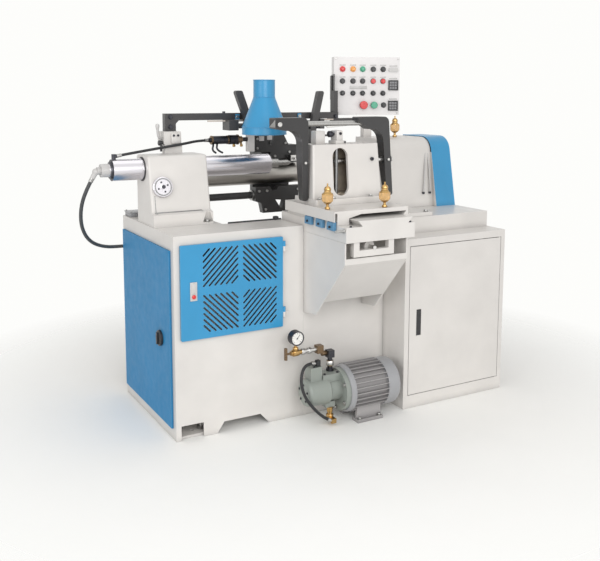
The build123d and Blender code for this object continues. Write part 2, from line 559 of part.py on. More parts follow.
with BuildPart() as spindle_bearings:
    for x in (HEAD_X[0] + 2, HEAD_X[1] - 38):
        rod("X", (x, AXIS_Y, AXIS_Z), BEARING_WIDTH, BEARING_RADIUS)
        rod("X", (x - 1, AXIS_Y, AXIS_Z), BEARING_WIDTH + 2, SPINDLE_RADIUS + RUN, Mode.SUBTRACT)
save(spindle_bearings, "spindle_bearings")

# Spindle with its drive centre and nose flange
with BuildPart() as spindle:
    turned("X", (0, AXIS_Y, AXIS_Z), [(305, 0), (330, 10), (330, 24), (342, 24), (342, 46), (370, 46),
                                      (370, SPINDLE_RADIUS), (SPINDLE_END, SPINDLE_RADIUS), (SPINDLE_END, 0)])
save(spindle, "spindle")


def pulley(axis_z, radius, bore):
    """A two-groove pulley on an axis along X."""
    low, high = PULLEY_X
    profile = [(low, bore), (low, radius)]
    for start in (low + 6, high - 22):
        root = radius - GROOVE
        profile += [(start, radius), (start + 4, root), (start + 12, root), (start + 16, radius)]
    turned("X", (0, AXIS_Y, axis_z), profile + [(high, radius), (high, bore)])


with BuildPart() as spindle_pulley:
    pulley(AXIS_Z, SPINDLE_PULLEY, SPINDLE_RADIUS)
save(spindle_pulley, "spindle_pulley")

with BuildPart() as motor_pulley:
    pulley(MOTOR_Z, MOTOR_PULLEY, MOTOR_SHAFT)
    rod("X", (560, AXIS_Y, MOTOR_Z), PULLEY_X[1] - 560 + 6, MOTOR_SHAFT)
save(motor_pulley, "motor_pulley")

# Drive belts: two loops in the pulley grooves
with BuildPart() as drive_belts:
    for x in (PULLEY_X[0] + 10.5, PULLEY_X[1] - 17.5):
        for grow, mode in ((8, Mode.ADD), (0, Mode.SUBTRACT)):
            with BuildSketch(Plane.YZ.offset(x)) as loop:
                with Locations((AXIS_Y, AXIS_Z)):
                    Circle(SPINDLE_PULLEY - 10 + grow)
                with Locations((AXIS_Y, MOTOR_Z)):
                    Circle(MOTOR_PULLEY - 10 + grow)
                make_hull()
            extrude(amount=7, mode=mode)
save(drive_belts, "drive_belts")

# Belt guard: a folded sheet cover over the spindle pulley
with BuildPart() as belt_guard:
    extrude(shell_sketch(HEAD_X[1], GUARD_FOOT_FRONT), amount=GUARD_END - HEAD_X[1])
    extrude(shell_sketch(HEAD_X[1] - 1, GUARD_FOOT_FRONT + DOOR_SHEET, DOOR_SHEET),
            amount=GUARD_END - HEAD_X[1] - DOOR_SHEET + 1, mode=Mode.SUBTRACT)
save(belt_guard, "belt_guard")

# Main motor on its stand inside the right cabinet
STAND_TOP = 288
with BuildPart() as main_motor:
    turned("X", (0, AXIS_Y, MOTOR_Z), [(300, 0), (300, 90), (312, 105), (370, 105), (374, 100), (540, 100),
                                       (556, 92), (556, 50), (575, 50), (575, 0)])
    rod("X", (550, AXIS_Y, MOTOR_Z), 30, MOTOR_SHAFT + RUN, Mode.SUBTRACT)
    block((390, 530), (AXIS_Y - 95, AXIS_Y + 95), (STAND_TOP + 12, 330))
    block((350, 560), (AXIS_Y - 150, AXIS_Y + 150), (STAND_TOP, STAND_TOP + 12))
    for y in (AXIS_Y - 140, AXIS_Y + 120):
        for x in (360, 530):
            block((x, x + 20), (y, y + 20), (CABINET_PAN, STAND_TOP))
save(main_motor, "main_motor")

# Oil tank on the floor pan of the left pedestal
with BuildPart() as oil_tank:
    block((-760, -540), (-220, 240), (FLOOR_PAN, 350))
    fillet(oil_tank.edges().filter_by(Axis.Z), 25)
    rod("Z", (-600, 120, 350), 30, 28)
save(oil_tank, "oil_tank")

# Rear beam and guide rod of the copying carriage
with BuildPart() as rear_beam:
    rod("X", (BEAM_X[0], BEAM_Y, BEAM_Z), BEAM_X[1] - BEAM_X[0], BEAM_RADIUS)
save(rear_beam, "rear_beam")

with BuildPart() as guide_rod:
    rod("X", (ROD_X[0], ROD_Y, ROD_Z), ROD_X[1] - ROD_X[0], ROD_RADIUS)
save(guide_rod, "guide_rod")

# Copying carriage: a C casting round the beam, whose splayed shoe slides on the guide rod
SHOE = [(SHOE_LEFT, SHOE_TOP), (-111, SHOE_TOP), (-102, 944), (-76, 944), (-67, SHOE_TOP),
        (CARRIAGE_X[1], SHOE_TOP), (CARRIAGE_X[1], 872), (34, SHOE_LOW), (-150, SHOE_LOW), (-160, 884),
        (SHOE_LEFT, 893)]
SHOE_WINDOW = [(-83, 897), (-33, 892), (-49, 846)]
with BuildPart() as copy_carriage:
    front_slab(SHOE_Y, SHOE, rounds=[((-160, 884), 14), ((34, SHOE_LOW), 10)])
    front_slab((SHOE_Y[0] - 1, SHOE_Y[1] + 1), SHOE_WINDOW, Mode.SUBTRACT)
    block(CARRIAGE_X, (SHOE_Y[1], CARRIAGE_BACK[1]), (897, 944))
    block(CARRIAGE_X, CARRIAGE_BACK, (897, ARM_DECK))
    block(CARRIAGE_X, (ARM_FRONT, CARRIAGE_BACK[1]), (ARM_LOW, ARM_DECK))
    block(TOOL_WAY_X, (ARM_FRONT, CARRIAGE_BACK[1]), (ARM_DECK, ARM_DECK + TOOL_WAY))
    rod("X", (SHOE_LEFT - 1, ROD_Y, ROD_Z), CARRIAGE_X[1] - SHOE_LEFT + 2, ROD_RADIUS + RUN, Mode.SUBTRACT)
save(copy_carriage, "copy_carriage")

# Copying tool slide: base on the way, valve block in front, hydraulic cylinder, gusset plate and tool
GUSSET = [(-115, 1094), (25, 1100), (-39, 1221), (-86, 1224)]
TOOL_BIT = [(-4, 140), (14, 140), (10, 124), (0, 124)]
with BuildPart() as copy_tool_slide:
    block(TOOL_SLIDE_X, TOOL_SLIDE_Y, (ARM_DECK + 0.5, 1164))
    block((TOOL_WAY_X[0] - 0.5, TOOL_WAY_X[1] + 0.5), (TOOL_SLIDE_Y[0] - 1, TOOL_SLIDE_Y[1] + 1),
          (ARM_DECK, ARM_DECK + TOOL_WAY + 0.5), Mode.SUBTRACT)
    block(VALVE_BLOCK_X, VALVE_BLOCK_Y, (ARM_DECK + 0.5, VALVE_BLOCK_TOP))
    rod("Y", (-62, TOOL_SLIDE_Y[0] + 10, 1188), TOOL_SLIDE_Y[1] - TOOL_SLIDE_Y[0] - 10, 27)
    front_slab((TOOL_SLIDE_Y[0], ARM_FRONT - 0.5), GUSSET, rounds=[((25, 1100), 8)])
    block((-14, 24), (140, TOOL_SLIDE_Y[0] + 2), (1086, 1114))
    slab(Plane.XY.offset(1092), TOOL_BIT, 10)
save(copy_tool_slide, "copy_tool_slide")

# Template rail over the machine, with its left leg and the bearing blocks of the index levers
with BuildPart() as template_rail:
    block(RAIL_X, RAIL_Y, RAIL_Z)
    leg = (RAIL_X[0], RAIL_X[0] + RAIL_LEG_WIDTH)
    front_slab(RAIL_Y, [(leg[0], RAIL_LEG_LOW), (leg[1], RAIL_LEG_LOW), (leg[1], RAIL_Z[0] - 14),
                        (leg[1] + 14, RAIL_Z[0]), (leg[0], RAIL_Z[0])])
    for x in LEVER_BEARINGS:
        block(x, (LEVER_Y - 20, RAIL_Y[1]), (LEVER_Z - 20, RAIL_Z[0]))
    block((200, 450), RAIL_Y, (1268, RAIL_Z[0]))
    rod("X", (LEVER_SHAFT_X[0] - 1, LEVER_Y, LEVER_Z), LEVER_SHAFT_X[1] - LEVER_SHAFT_X[0] + 2,
        LEVER_RADIUS + RUN, Mode.SUBTRACT)
save(template_rail, "template_rail")

# White supports: the clamp post on the tailstock, the post on the headstock and the valve bracket
with BuildPart() as rail_supports:
    block((-672, -592), (86, 126), (TAIL_TOP, 1184))
    front_slab((86, 168), [(-676, 1184), (-596, 1184), (-596, RAIL_LEG_LOW), (-676, RAIL_LEG_LOW)],
               rounds=[((-676, 1184), 10), ((-596, 1184), 6)])
    block((399, 446), RAIL_Y, (HEAD_TOP - 4, 1268))
    block((-249, -215), (128, 154), (1139, RAIL_Z[0]))
save(rail_supports, "rail_supports")


def lever_bar(foot, tip, z, width):
    """A flat bar between two heights, leaning in the plane of the rail."""
    half = width / 2
    outline = [(foot - half, z[0]), (foot + half, z[0]), (tip + half, z[1]), (tip - half, z[1])]
    front_slab(LEVER_THICK, outline, rounds=[((tip + half, z[1]), 10), ((tip - half, z[1]), 10)])


# Index levers: two inclined hand bars on one cross shaft, the right one with a lower arm
with BuildPart() as index_levers:
    rod("X", (LEVER_SHAFT_X[0], LEVER_Y, LEVER_Z), LEVER_SHAFT_X[1] - LEVER_SHAFT_X[0], LEVER_RADIUS)
    lever_bar(-247, -314, (LEVER_Z - 16, LEVER_TOP), 38)
    lever_bar(84, 126, (LEVER_Z - 16, LEVER_TOP), 34)
    lever_bar(85, 80, (LEVER_Z, LEVER_LOW), 30)
save(index_levers, "index_levers")

# Dust hood: neck, cone and skirt of rolled sheet on a strap clamped to the rail
with BuildPart() as dust_hood:
    outer = list(zip(HOOD_Z, (HOOD_SKIRT, HOOD_SKIRT, HOOD_NECK, HOOD_NECK)))
    inner = [(z, r - HOOD_SHEET) for z, r in reversed(outer)]
    turned("Z", (HOOD_X, HOOD_Y, 0), outer + inner)
    block(STRAP_X, STRAP_Y, STRAP_Z)
    slab(Plane.XY.offset(STRAP_Z[0]), [(-229.5, 1), (-196, -25), (-190, STRAP_Y[1]), (-229.5, STRAP_Y[1])],
         STRAP_Z[1] - STRAP_Z[0])
    for x in (-315, 14):
        block((x, x + 18), STRAP_Y, (STRAP_Z[1], 1316))
save(dust_hood, "dust_hood")

# Control box on its post, turned towards the operator
turn = math.radians(PANEL_TURN)
FACING, ACROSS = (-math.sin(turn), -math.cos(turn), 0), (math.cos(turn), -math.sin(turn), 0)
PANEL = Plane(origin=PANEL_CORNER, x_dir=ACROSS, z_dir=FACING)
PUSH_SPOTS = [(u, ROWS[2]) for u in COLUMNS]
STOP_SPOT, START_SPOT = (COLUMNS[2] + LOWER_SHIFT, ROWS[3]), (COLUMNS[3] + LOWER_SHIFT, ROWS[3])
LAMP_SPOTS = [(u, ROWS[0]) for u in COLUMNS[:3]]
SWITCH_SPOTS = [(u, ROWS[0]) for u in COLUMNS[3:]] + [(u, ROWS[1]) for u in COLUMNS] 
SWITCH_SPOTS += [(COLUMNS[4] + LOWER_SHIFT, ROWS[3])]
DISPLAYS = ((ROWS[0] - 3, 18), (ROWS[1] - 20, 46), (ROWS[3] - 3, 46))
with BuildPart() as control_box:
    for depth, inset, thick, mode in ((0, 0, PANEL_DEPTH, Mode.ADD),
                                      (PANEL_SHEET, PANEL_SHEET, PANEL_DEPTH - 2 * PANEL_SHEET, Mode.SUBTRACT)):
        with BuildSketch(PANEL.offset(-depth)):
            with Locations((PANEL_WIDTH / 2, PANEL_HEIGHT / 2)):
                Rectangle(PANEL_WIDTH - 2 * inset, PANEL_HEIGHT - 2 * inset)
        extrude(amount=-thick, mode=mode)
    with BuildSketch(PANEL):
        with Locations(*PUSH_SPOTS):
            Circle(13)
        with Locations(STOP_SPOT, START_SPOT):
            Circle(16)
        for v, height in DISPLAYS:
            with Locations((DISPLAY_COLUMN, v)):
                Rectangle(DISPLAY_WIDTH, height)
    extrude(amount=BEZEL)
    with BuildSketch(PANEL.offset(BEZEL + 1)):
        with Locations(*PUSH_SPOTS, STOP_SPOT, START_SPOT):
            Circle(STEM_RADIUS + RUN)
    extrude(amount=-20, mode=Mode.SUBTRACT)
save(control_box, "control_box")


def push_button(name, spot, radius, height):
    """A push button: a cap above its bezel and a stem through the panel."""
    with BuildPart() as button:
        with BuildSketch(PANEL.offset(BUTTON_REST)):
            with Locations(spot):
                Circle(radius)
        extrude(amount=height)
        chamfer(button.faces().sort_by(Axis(PANEL.origin, PANEL.z_dir))[-1].edges(), 2)
        with BuildSketch(PANEL.offset(BUTTON_REST)):
            with Locations(spot):
                Circle(STEM_RADIUS)
        extrude(amount=-30)
    save(button, name)


for number, spot in enumerate(PUSH_SPOTS, 1):
    push_button(f"push_button_{number}", spot, BUTTON_RADIUS, 6)
push_button("emergency_stop", STOP_SPOT, 20, 12)
push_button("start_button", START_SPOT, 17, 9)

with BuildPart() as pilot_lamps:
    with BuildSketch(PANEL):
        with Locations(*LAMP_SPOTS):
            Circle(11)
    extrude(amount=12)
    chamfer(pilot_lamps.faces().sort_by(Axis(PANEL.origin, PANEL.z_dir))[-3:].edges(), 4)
save(pilot_lamps, "pilot_lamps")

with BuildPart() as panel_switches:
    for level, radius in ((0, 12), (8, 8)):
        with BuildSketch(PANEL.offset(level)):
            with Locations(*SWITCH_SPOTS):
                Circle(radius)
        extrude(amount=8)
save(panel_switches, "panel_switches")

# Panel post on the rail, with the plate that holds the box by its left side
with BuildPart() as panel_post:
    block((216, 242), (RAIL_Y[0] - 3, RAIL_Y[1] - 2), (RAIL_Z[1], 1426))
    side = Plane(origin=PANEL_CORNER, x_dir=(math.sin(turn), math.cos(turn), 0), z_dir=ACROSS)
    slab(side, [(-26, 88), (42, 88), (42, 202), (-26, 202)], -SHEET)
save(panel_post, "panel_post")


def slot_field(sx, sz):
    """Slanting slots of one field, towards one corner of the louvred door."""
    slope = -sx * sz
    middle_x = SLOT_CENTRE[0] + sx * (SLOT_GAP[0] + SLOT_FIELD / 2)
    middle_z = SLOT_CENTRE[1] + sz * (SLOT_GAP[1] + SLOT_FIELD / 2)
    for i in range(SLOT_COUNT):
        shift = (i - (SLOT_COUNT - 1) / 2) * 2 * SLOT_FIELD / (SLOT_COUNT + 1)
        length = (SLOT_FIELD - abs(shift)) * math.sqrt(2) + SLOT_WIDTH
        with BuildSketch(Plane.XZ.offset(-LOUVRE_Y[0] + 1)) as slot:
            with Locations((middle_x + shift / 2, middle_z - slope * shift / 2)):
                SlotOverall(length, SLOT_WIDTH, rotation=45 * slope)
        extrude(slot.sketch, amount=-DOOR_SHEET - 3, mode=Mode.SUBTRACT)


# Louvred door: folded sheet with four fields of slots and its hinge knuckles
with BuildPart() as louvre_door:
    block(LOUVRE_X, LOUVRE_Y, LOUVRE_Z)
    fillet(louvre_door.edges().filter_by(Axis.Y), 5)
    block((LOUVRE_X[0] + DOOR_SHEET, LOUVRE_X[1] - DOOR_SHEET), (LOUVRE_Y[0] + DOOR_SHEET, LOUVRE_Y[1] + 1),
          (LOUVRE_Z[0] + DOOR_SHEET, LOUVRE_Z[1] - DOOR_SHEET), Mode.SUBTRACT)
    for sx in (-1, 1):
        for sz in (-1, 1):
            slot_field(sx, sz)
    for z in LOUVRE_HINGE_Z:
        x, y = LOUVRE_HINGE
        rod("Z", (x, y, z + 0.5), KNUCKLE, KNUCKLE_RADIUS)
        block((LOUVRE_X[1] - DOOR_SHEET, x), (y - 1, y + 3), (z + 0.5, z + KNUCKLE + 0.5))
        rod("Z", (x, y, z), KNUCKLE + 1, PIN_RADIUS + RUN, Mode.SUBTRACT)
save(louvre_door, "louvre_door")

# End cover: a lift-off tray with a socket for its quarter-turn knob
with BuildPart() as end_cover:
    block(END_COVER_X, END_COVER_Y, END_COVER_Z)
    block((END_COVER_X[0] + 2, END_COVER_X[1] + 1), (END_COVER_Y[0] + 2, END_COVER_Y[1] - 2),
          (END_COVER_Z[0] + 2, END_COVER_Z[1] - 2), Mode.SUBTRACT)
    rod("X", (END_COVER_X[0] + 1, *END_KNOB), 11, 14)
    rod("X", (END_COVER_X[0] - 1, *END_KNOB), 20, 6 + RUN, Mode.SUBTRACT)
save(end_cover, "end_cover")

with BuildPart() as end_cover_knob:
    turned("X", (END_COVER_X[0], *END_KNOB), [(-12, 0), (-12, 28), (-9, 33), (-1, 33), (-1, 6), (13, 6),
                                              (13, 0)])
    block((END_COVER_X[0] - 19, END_COVER_X[0] - 11), (END_KNOB[0] - 5, END_KNOB[0] + 5),
          (END_KNOB[1] - 25, END_KNOB[1] + 25))
save(end_cover_knob, "end_cover_knob")

# Cabinet door: a tray on concealed pivots, with the box of its flush pull
with BuildPart() as cabinet_door:
    handle_x, handle_z = DOOR_HANDLE
    block(DOOR_X, (CABINET_FRONT, CABINET_FRONT + DOOR_DEPTH), DOOR_Z)
    block((DOOR_X[0] + 2, DOOR_X[1] - 12), (CABINET_FRONT + 2, CABINET_FRONT + DOOR_DEPTH + 1),
          (DOOR_Z[0] + 2, DOOR_Z[1] - 2), Mode.SUBTRACT)
    block((handle_x - 18, handle_x + 18), (CABINET_FRONT, CABINET_FRONT + DOOR_DEPTH),
          (handle_z - 64, handle_z + 64))
    block((handle_x - 13.5, handle_x + 13.5), (CABINET_FRONT - 1, CABINET_FRONT + 15),
          (handle_z - 60, handle_z + 60), Mode.SUBTRACT)
    rod("X", (handle_x - 16, *HANDLE_PIN), 32, 2.5 + RUN, Mode.SUBTRACT)
    for z in (DOOR_Z[0] - 14, DOOR_Z[1] - 6):
        rod("Z", (*DOOR_PIVOT, z), 20, PIN_RADIUS)
save(cabinet_door, "cabinet_door")

with BuildPart() as cabinet_handle:
    block((handle_x - 12.5, handle_x + 12.5), (CABINET_FRONT + 1, CABINET_FRONT + 10.5),
          (handle_z - 58, handle_z + 56))
    rod("X", (handle_x - 15.5, *HANDLE_PIN), 31, 2.5)
save(cabinet_handle, "cabinet_handle")

# Hydraulic pump with its mounting flange, valve block and ports
with BuildPart() as pump_body:
    turned("X", (PUMP_X[0], PUMP_Y, PUMP_BODY_Z), [(0, 0), (0, 44), (5, 54), (14, 59), (104, 63), (114, 52),
                                                   (165, 52), (165, 0)])
    rod("X", (PUMP_X[1], PUMP_Y, PUMP_Z), MOTOR_X[0] - PUMP_X[1], 92)
    block((-190, PUMP_X[1]), (PUMP_Y - 34, PUMP_Y + 34), (190, 222))
    block((-246, -192), (PUMP_Y - 26, PUMP_Y + 26), (190, 260))
    block((-175, -130), (PUMP_Y - 30, PUMP_Y + 30), (76, 100))
save(pump_body, "pump_body")

# Finned pump motor on its feet
with BuildPart() as pump_motor:
    shield = MOTOR_X[0] + 22
    turned("X", (0, PUMP_Y, PUMP_Z), [(MOTOR_X[0], 0), (MOTOR_X[0], 96), (MOTOR_X[0] + 5, 101), (shield, 103),
                                      (shield, MOTOR_BODY), (105, MOTOR_BODY), (105, MOTOR_COWL),
                                      (158, MOTOR_COWL), (168, 98), (MOTOR_X[1], 88), (MOTOR_X[1], 0)])
    with BuildSketch(Plane.YZ.offset(shield - 2)):
        with Locations((PUMP_Y, PUMP_Z)):
            with PolarLocations(98, FIN_COUNT):
                Rectangle(16, 3)
    extrude(amount=105 - shield + 6)
    for y in (PUMP_Y - 62, PUMP_Y + 62):
        block((-45, 85), (y - 24, y + 24), (0, 14))
        block((-40, 80), (y - 8, y + 8), (14, 75))
save(pump_motor, "pump_motor")

# Gauge on its tee, and the run of fittings down to the pump
with BuildPart() as pressure_gauge:
    turned("Y", (GAUGE[0], GAUGE[1] - 16, GAUGE[2]), [(0, 0), (0, 28), (-2, 28), (-2, 31), (30, 31), (30, 0)])
    rod("Z", (GAUGE[0], GAUGE[1], MANIFOLD_Z + 16), GAUGE[2] - MANIFOLD_Z - 40, 6)
save(pressure_gauge, "pressure_gauge")

TEE_RUN = [(-24, 0), (-24, 10), (-14, 10), (-14, 14), (14, 14), (14, 10), (26, 10), (26, 13), (44, 13), (44, 8),
           (56, 8), (56, 13), (74, 13), (74, 9), (104, 9), (104, 0)]
UNION = [(0, 0), (0, 17), (10, 17), (10, 11), (24, 11), (24, 15), (46, 15), (46, 10), (62, 10), (62, 0)]
DRAIN = [(0, 0), (0, 14), (16, 14), (16, 10), (26, 10), (26, 13), (46, 13), (46, 0)]
with BuildPart() as hydraulic_fittings:
    turned("X", (GAUGE[0], GAUGE[1], MANIFOLD_Z), TEE_RUN)
    rod("Z", (GAUGE[0], GAUGE[1], MANIFOLD_Z), 16, 10)
    rod("X", (GAUGE[0] - 25, GAUGE[1], MANIFOLD_Z), 16, 5 + RUN, Mode.SUBTRACT)
    block((-190, -160), (GAUGE[1] - 15, GAUGE[1] + 15), (MANIFOLD_Z - 18, MANIFOLD_Z + 16))
    rod("X", (-165, GAUGE[1] - 5, 300), 26, 11)
    block((RISER[0] - 15, RISER[0] + 15), (RISER[1] - 15, RISER[1] + 15), (282, 314))
    turned("Z", (*RISER, 222), UNION)
    stub(PUMP_HOSE_ROUTE[0], PUMP_HOSE_ROUTE[1], 9, 12)
    block((-212, -194), (-462, -442), (260, 286))
    stub(PUMP_HOSE_ROUTE[-1], PUMP_HOSE_ROUTE[-2], 9, 12)
    block((-163, -141), (-508, -459), (14, 34))
    turned("Z", (-152, -470, 30), DRAIN)
    stub(QUILL_HOSE_ROUTE[-1], QUILL_HOSE_ROUTE[-2], 11, 20)
    block((-726, -700), (366, 396), (683, 707))
    rod("Y", (-713, BACK, 695), 40, 11)
save(hydraulic_fittings, "hydraulic_fittings")

with BuildPart() as gauge_tap:
    rod("X", (GAUGE[0] - 44, GAUGE[1], MANIFOLD_Z), 34, 5)
    block((GAUGE[0] - 52, GAUGE[0] - 42), (GAUGE[1] - 6, GAUGE[1] + 6), (MANIFOLD_Z - 26, MANIFOLD_Z + 26))
save(gauge_tap, "gauge_tap")

# Solenoid valve of the copying circuit, beside its bracket
VALVE_PROFILE = [(7, 0), (7, 11), (16, 11), (16, 19), (96, 19), (96, 12), (104, 12), (104, 22), (150, 22),
                 (150, 10), (197, 10), (197, 0)]
with BuildPart() as solenoid_valve:
    stub(VALVE_HOSE_ROUTE[-1], VALVE_HOSE_ROUTE[-2], 9, 14)
    turned("X", VALVE_HOSE_ROUTE[-1], VALVE_PROFILE)
save(solenoid_valve, "solenoid_valve")

# Oiler on the headstock
with BuildPart() as headstock_oiler:
    oiler(538, AXIS_Y, HEAD_TOP - 4)
save(headstock_oiler, "headstock_oiler")

hose("quill_hose", QUILL_HOSE, QUILL_HOSE_ROUTE)
hose("valve_hose", VALVE_HOSE, VALVE_HOSE_ROUTE)
hose("pump_hose", PUMP_HOSE, PUMP_HOSE_ROUTE)
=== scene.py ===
"""Looks of the short bed copying lathe, in metres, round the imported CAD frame."""

import json
import math

import bmesh
import bpy
from mathutils import Matrix, Vector


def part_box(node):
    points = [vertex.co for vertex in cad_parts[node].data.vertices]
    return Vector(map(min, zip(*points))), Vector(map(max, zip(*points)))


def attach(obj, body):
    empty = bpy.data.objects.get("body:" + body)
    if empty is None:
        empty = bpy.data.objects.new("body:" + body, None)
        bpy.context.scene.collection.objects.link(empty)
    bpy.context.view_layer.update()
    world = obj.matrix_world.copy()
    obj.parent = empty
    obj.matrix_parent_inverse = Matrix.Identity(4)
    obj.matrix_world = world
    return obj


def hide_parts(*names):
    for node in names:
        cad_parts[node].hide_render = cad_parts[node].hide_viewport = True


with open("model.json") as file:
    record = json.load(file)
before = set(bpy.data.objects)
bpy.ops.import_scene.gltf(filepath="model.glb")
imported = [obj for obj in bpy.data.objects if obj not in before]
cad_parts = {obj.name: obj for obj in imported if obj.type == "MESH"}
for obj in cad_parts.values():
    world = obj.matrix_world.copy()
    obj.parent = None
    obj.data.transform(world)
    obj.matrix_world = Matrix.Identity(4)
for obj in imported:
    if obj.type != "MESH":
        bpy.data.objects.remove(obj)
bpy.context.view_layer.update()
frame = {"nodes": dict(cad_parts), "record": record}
NODES = frame["nodes"]
SCENE = bpy.context.scene

# Camera fitted to the photograph
CAMERA_PLACE = (-1.9032, -3.3607, 1.4174)
CAMERA_TURN = (82.62, -0.22, -29.82)
CAMERA_LENS = 49.11
CAMERA_SHIFT = (-0.0199, -0.137)

camera_data = bpy.data.cameras.new("camera")
camera_data.lens = CAMERA_LENS
camera_data.shift_x, camera_data.shift_y = CAMERA_SHIFT
camera = bpy.data.objects.new("camera", camera_data)
camera.location = CAMERA_PLACE
camera.rotation_euler = [math.radians(angle) for angle in CAMERA_TURN]
SCENE.collection.objects.link(camera)
SCENE.camera = camera
SCENE.view_settings.view_transform = "Standard"

# Materials

EVEN, AROUND_X, AROUND_Z = (1, 1, 1), (1, 0.02, 0.02), (0.02, 0.02, 1)
NOISE_RANGE = (0.3, 0.7)
EDGE_RANGE = (0.98, 0.8)
# Reaches of the painted shade in corners and of the lighter edges, which are partly rubbed wear and partly
# painted highlight
PAINTED_SHADE_REACH, EDGE_WEAR_AND_HIGHLIGHT_REACH = 0.03, 0.002
COAT_ROUGHNESS = 0.22
PATCHES, SMEARS, ORANGE_PEEL = 7, 30, 420
SPECKS, HANDLING, WAVES = 60, 25, 90


def shader(name, roughness, metallic=0.0):
    """A new node material with its principled shader."""
    material = bpy.data.materials.new(name)
    material.use_nodes = True
    tree = material.node_tree
    surface = tree.nodes["Principled BSDF"]
    surface.inputs["Roughness"].default_value = roughness
    surface.inputs["Metallic"].default_value = metallic
    return material, tree, surface


def feed(tree, surface, socket, value):
    """Links a value or colour to a socket of the surface."""
    tree.links.new(value, surface.inputs[socket])


def noise(tree, scale, detail, stretch=EVEN):
    """Noise over the piece's own place, stretched along its axes."""
    place = tree.nodes.new("ShaderNodeTexCoord")
    mapping = tree.nodes.new("ShaderNodeMapping")
    mapping.inputs["Scale"].default_value = stretch
    texture = tree.nodes.new("ShaderNodeTexNoise")
    texture.inputs["Scale"].default_value = scale
    texture.inputs["Detail"].default_value = detail
    tree.links.new(place.outputs["Object"], mapping.inputs["Vector"])
    tree.links.new(mapping.outputs["Vector"], texture.inputs["Vector"])
    return texture.outputs["Fac"]


def ranged(tree, value, source, target=(0, 1)):
    """A value brought from one range to another."""
    node = tree.nodes.new("ShaderNodeMapRange")
    for name, level in zip(("From Min", "From Max", "To Min", "To Max"), (*source, *target)):
        node.inputs[name].default_value = level
    tree.links.new(value, node.inputs["Value"])
    return node.outputs["Result"]


def spread(tree, value, low, high):
    """A noise spread between two levels."""
    return ranged(tree, value, NOISE_RANGE, (low, high))


def mixed(tree, factor, first, second):
    """Two colours, or a colour socket and a colour, mixed by a factor."""
    node = tree.nodes.new("ShaderNodeMix")
    node.data_type = "RGBA"
    tree.links.new(factor, node.inputs["Factor"])
    for socket, colour in (("A", first), ("B", second)):
        target = [s for s in node.inputs if s.name == socket and s.type == "RGBA"][0]
        if isinstance(colour, tuple):
            target.default_value = (*colour, 1)
        else:
            tree.links.new(colour, target)
    return [s for s in node.outputs if s.type == "RGBA"][0]


def mottled(tree, scale, detail, first, second):
    """Two colours mixed in soft patches."""
    return mixed(tree, spread(tree, noise(tree, scale, detail), 0, 1), first, second)


def shaded(colour, share):
    """A colour scaled by a share."""
    return tuple(share * part for part in colour)


def smeared(tree, surface, scale, detail, low, high):
    """Gives the surface a roughness that drifts between two levels."""
    feed(tree, surface, "Roughness", spread(tree, noise(tree, scale, detail), low, high))


def bumped(tree, surface, height, strength, distance):
    """Gives the surface relief from a height."""
    node = tree.nodes.new("ShaderNodeBump")
    node.inputs["Strength"].default_value = strength
    node.inputs["Distance"].default_value = distance
    tree.links.new(height, node.inputs["Height"])
    feed(tree, surface, "Normal", node.outputs["Normal"])


def edges(tree, radius):
    """How close the surface is to a sharp edge, from 0 to 1."""
    rounded = tree.nodes.new("ShaderNodeBevel")
    rounded.samples = 4
    rounded.inputs["Radius"].default_value = radius
    plain = tree.nodes.new("ShaderNodeNewGeometry")
    agree = tree.nodes.new("ShaderNodeVectorMath")
    agree.operation = "DOT_PRODUCT"
    tree.links.new(rounded.outputs["Normal"], agree.inputs[0])
    tree.links.new(plain.outputs["Normal"], agree.inputs[1])
    return ranged(tree, agree.outputs["Value"], EDGE_RANGE)


def corners(tree, reach):
    """How open the surface is, from 0 in a corner to 1 on the flat."""
    node = tree.nodes.new("ShaderNodeAmbientOcclusion")
    node.samples = 8
    node.inputs["Distance"].default_value = reach
    return node.outputs["AO"]


def paint(name, colour, wear_and_highlight, roughness, peel=0.05, corner_shade=0.55, coat=0.25):
    """Sprayed enamel: faint mottling, orange peel, painted shade in the corners, and lighter edges that are
    partly rubbed wear and partly painted highlight.
    """
    material, tree, surface = shader(name, roughness)
    surface.inputs["Coat Weight"].default_value = coat
    surface.inputs["Coat Roughness"].default_value = COAT_ROUGHNESS
    sprayed = mottled(tree, PATCHES, 5, shaded(colour, 0.92), colour)
    # Painted shade: the colour darkens towards corners, following the ambient occlusion
    corner_shaded = mixed(tree, corners(tree, PAINTED_SHADE_REACH), shaded(colour, corner_shade), sprayed)
    # Lighter edges near sharp corners: partly rubbed wear, partly painted highlight
    feed(tree, surface, "Base Color", mixed(tree, edges(tree, EDGE_WEAR_AND_HIGHLIGHT_REACH), corner_shaded, wear_and_highlight))
    smeared(tree, surface, SMEARS, 4, roughness - 0.05, roughness + 0.08)
    bumped(tree, surface, noise(tree, ORANGE_PEEL, 2), peel, 0.001)
    return material


def machined(name, colour, shade, roughness, lines=300, stretch=EVEN, relief=0.12, variation=0.08):
    """Turned, ground or cast metal with fine tool lines along the stretched axes."""
    material, tree, surface = shader(name, roughness, 1.0)
    fine = noise(tree, lines, 2, stretch)
    feed(tree, surface, "Base Color", mixed(tree, spread(tree, fine, 0, 1), shade, colour))
    feed(tree, surface, "Roughness", spread(tree, fine, roughness - variation, roughness + variation))
    bumped(tree, surface, fine, relief, 0.0004)
    return material


def moulded(name, colour, roughness, grain=600):
    """Rubber or plastic with a fine moulded grain."""
    material, tree, surface = shader(name, roughness)
    lighter = tuple(min(1, 1.25 * part + 0.01) for part in colour)
    feed(tree, surface, "Base Color", mottled(tree, SPECKS, 4, colour, lighter))
    smeared(tree, surface, HANDLING, 3, roughness - 0.04, roughness + 0.08)
    bumped(tree, surface, noise(tree, grain, 2), 0.1, 0.0005)
    return material


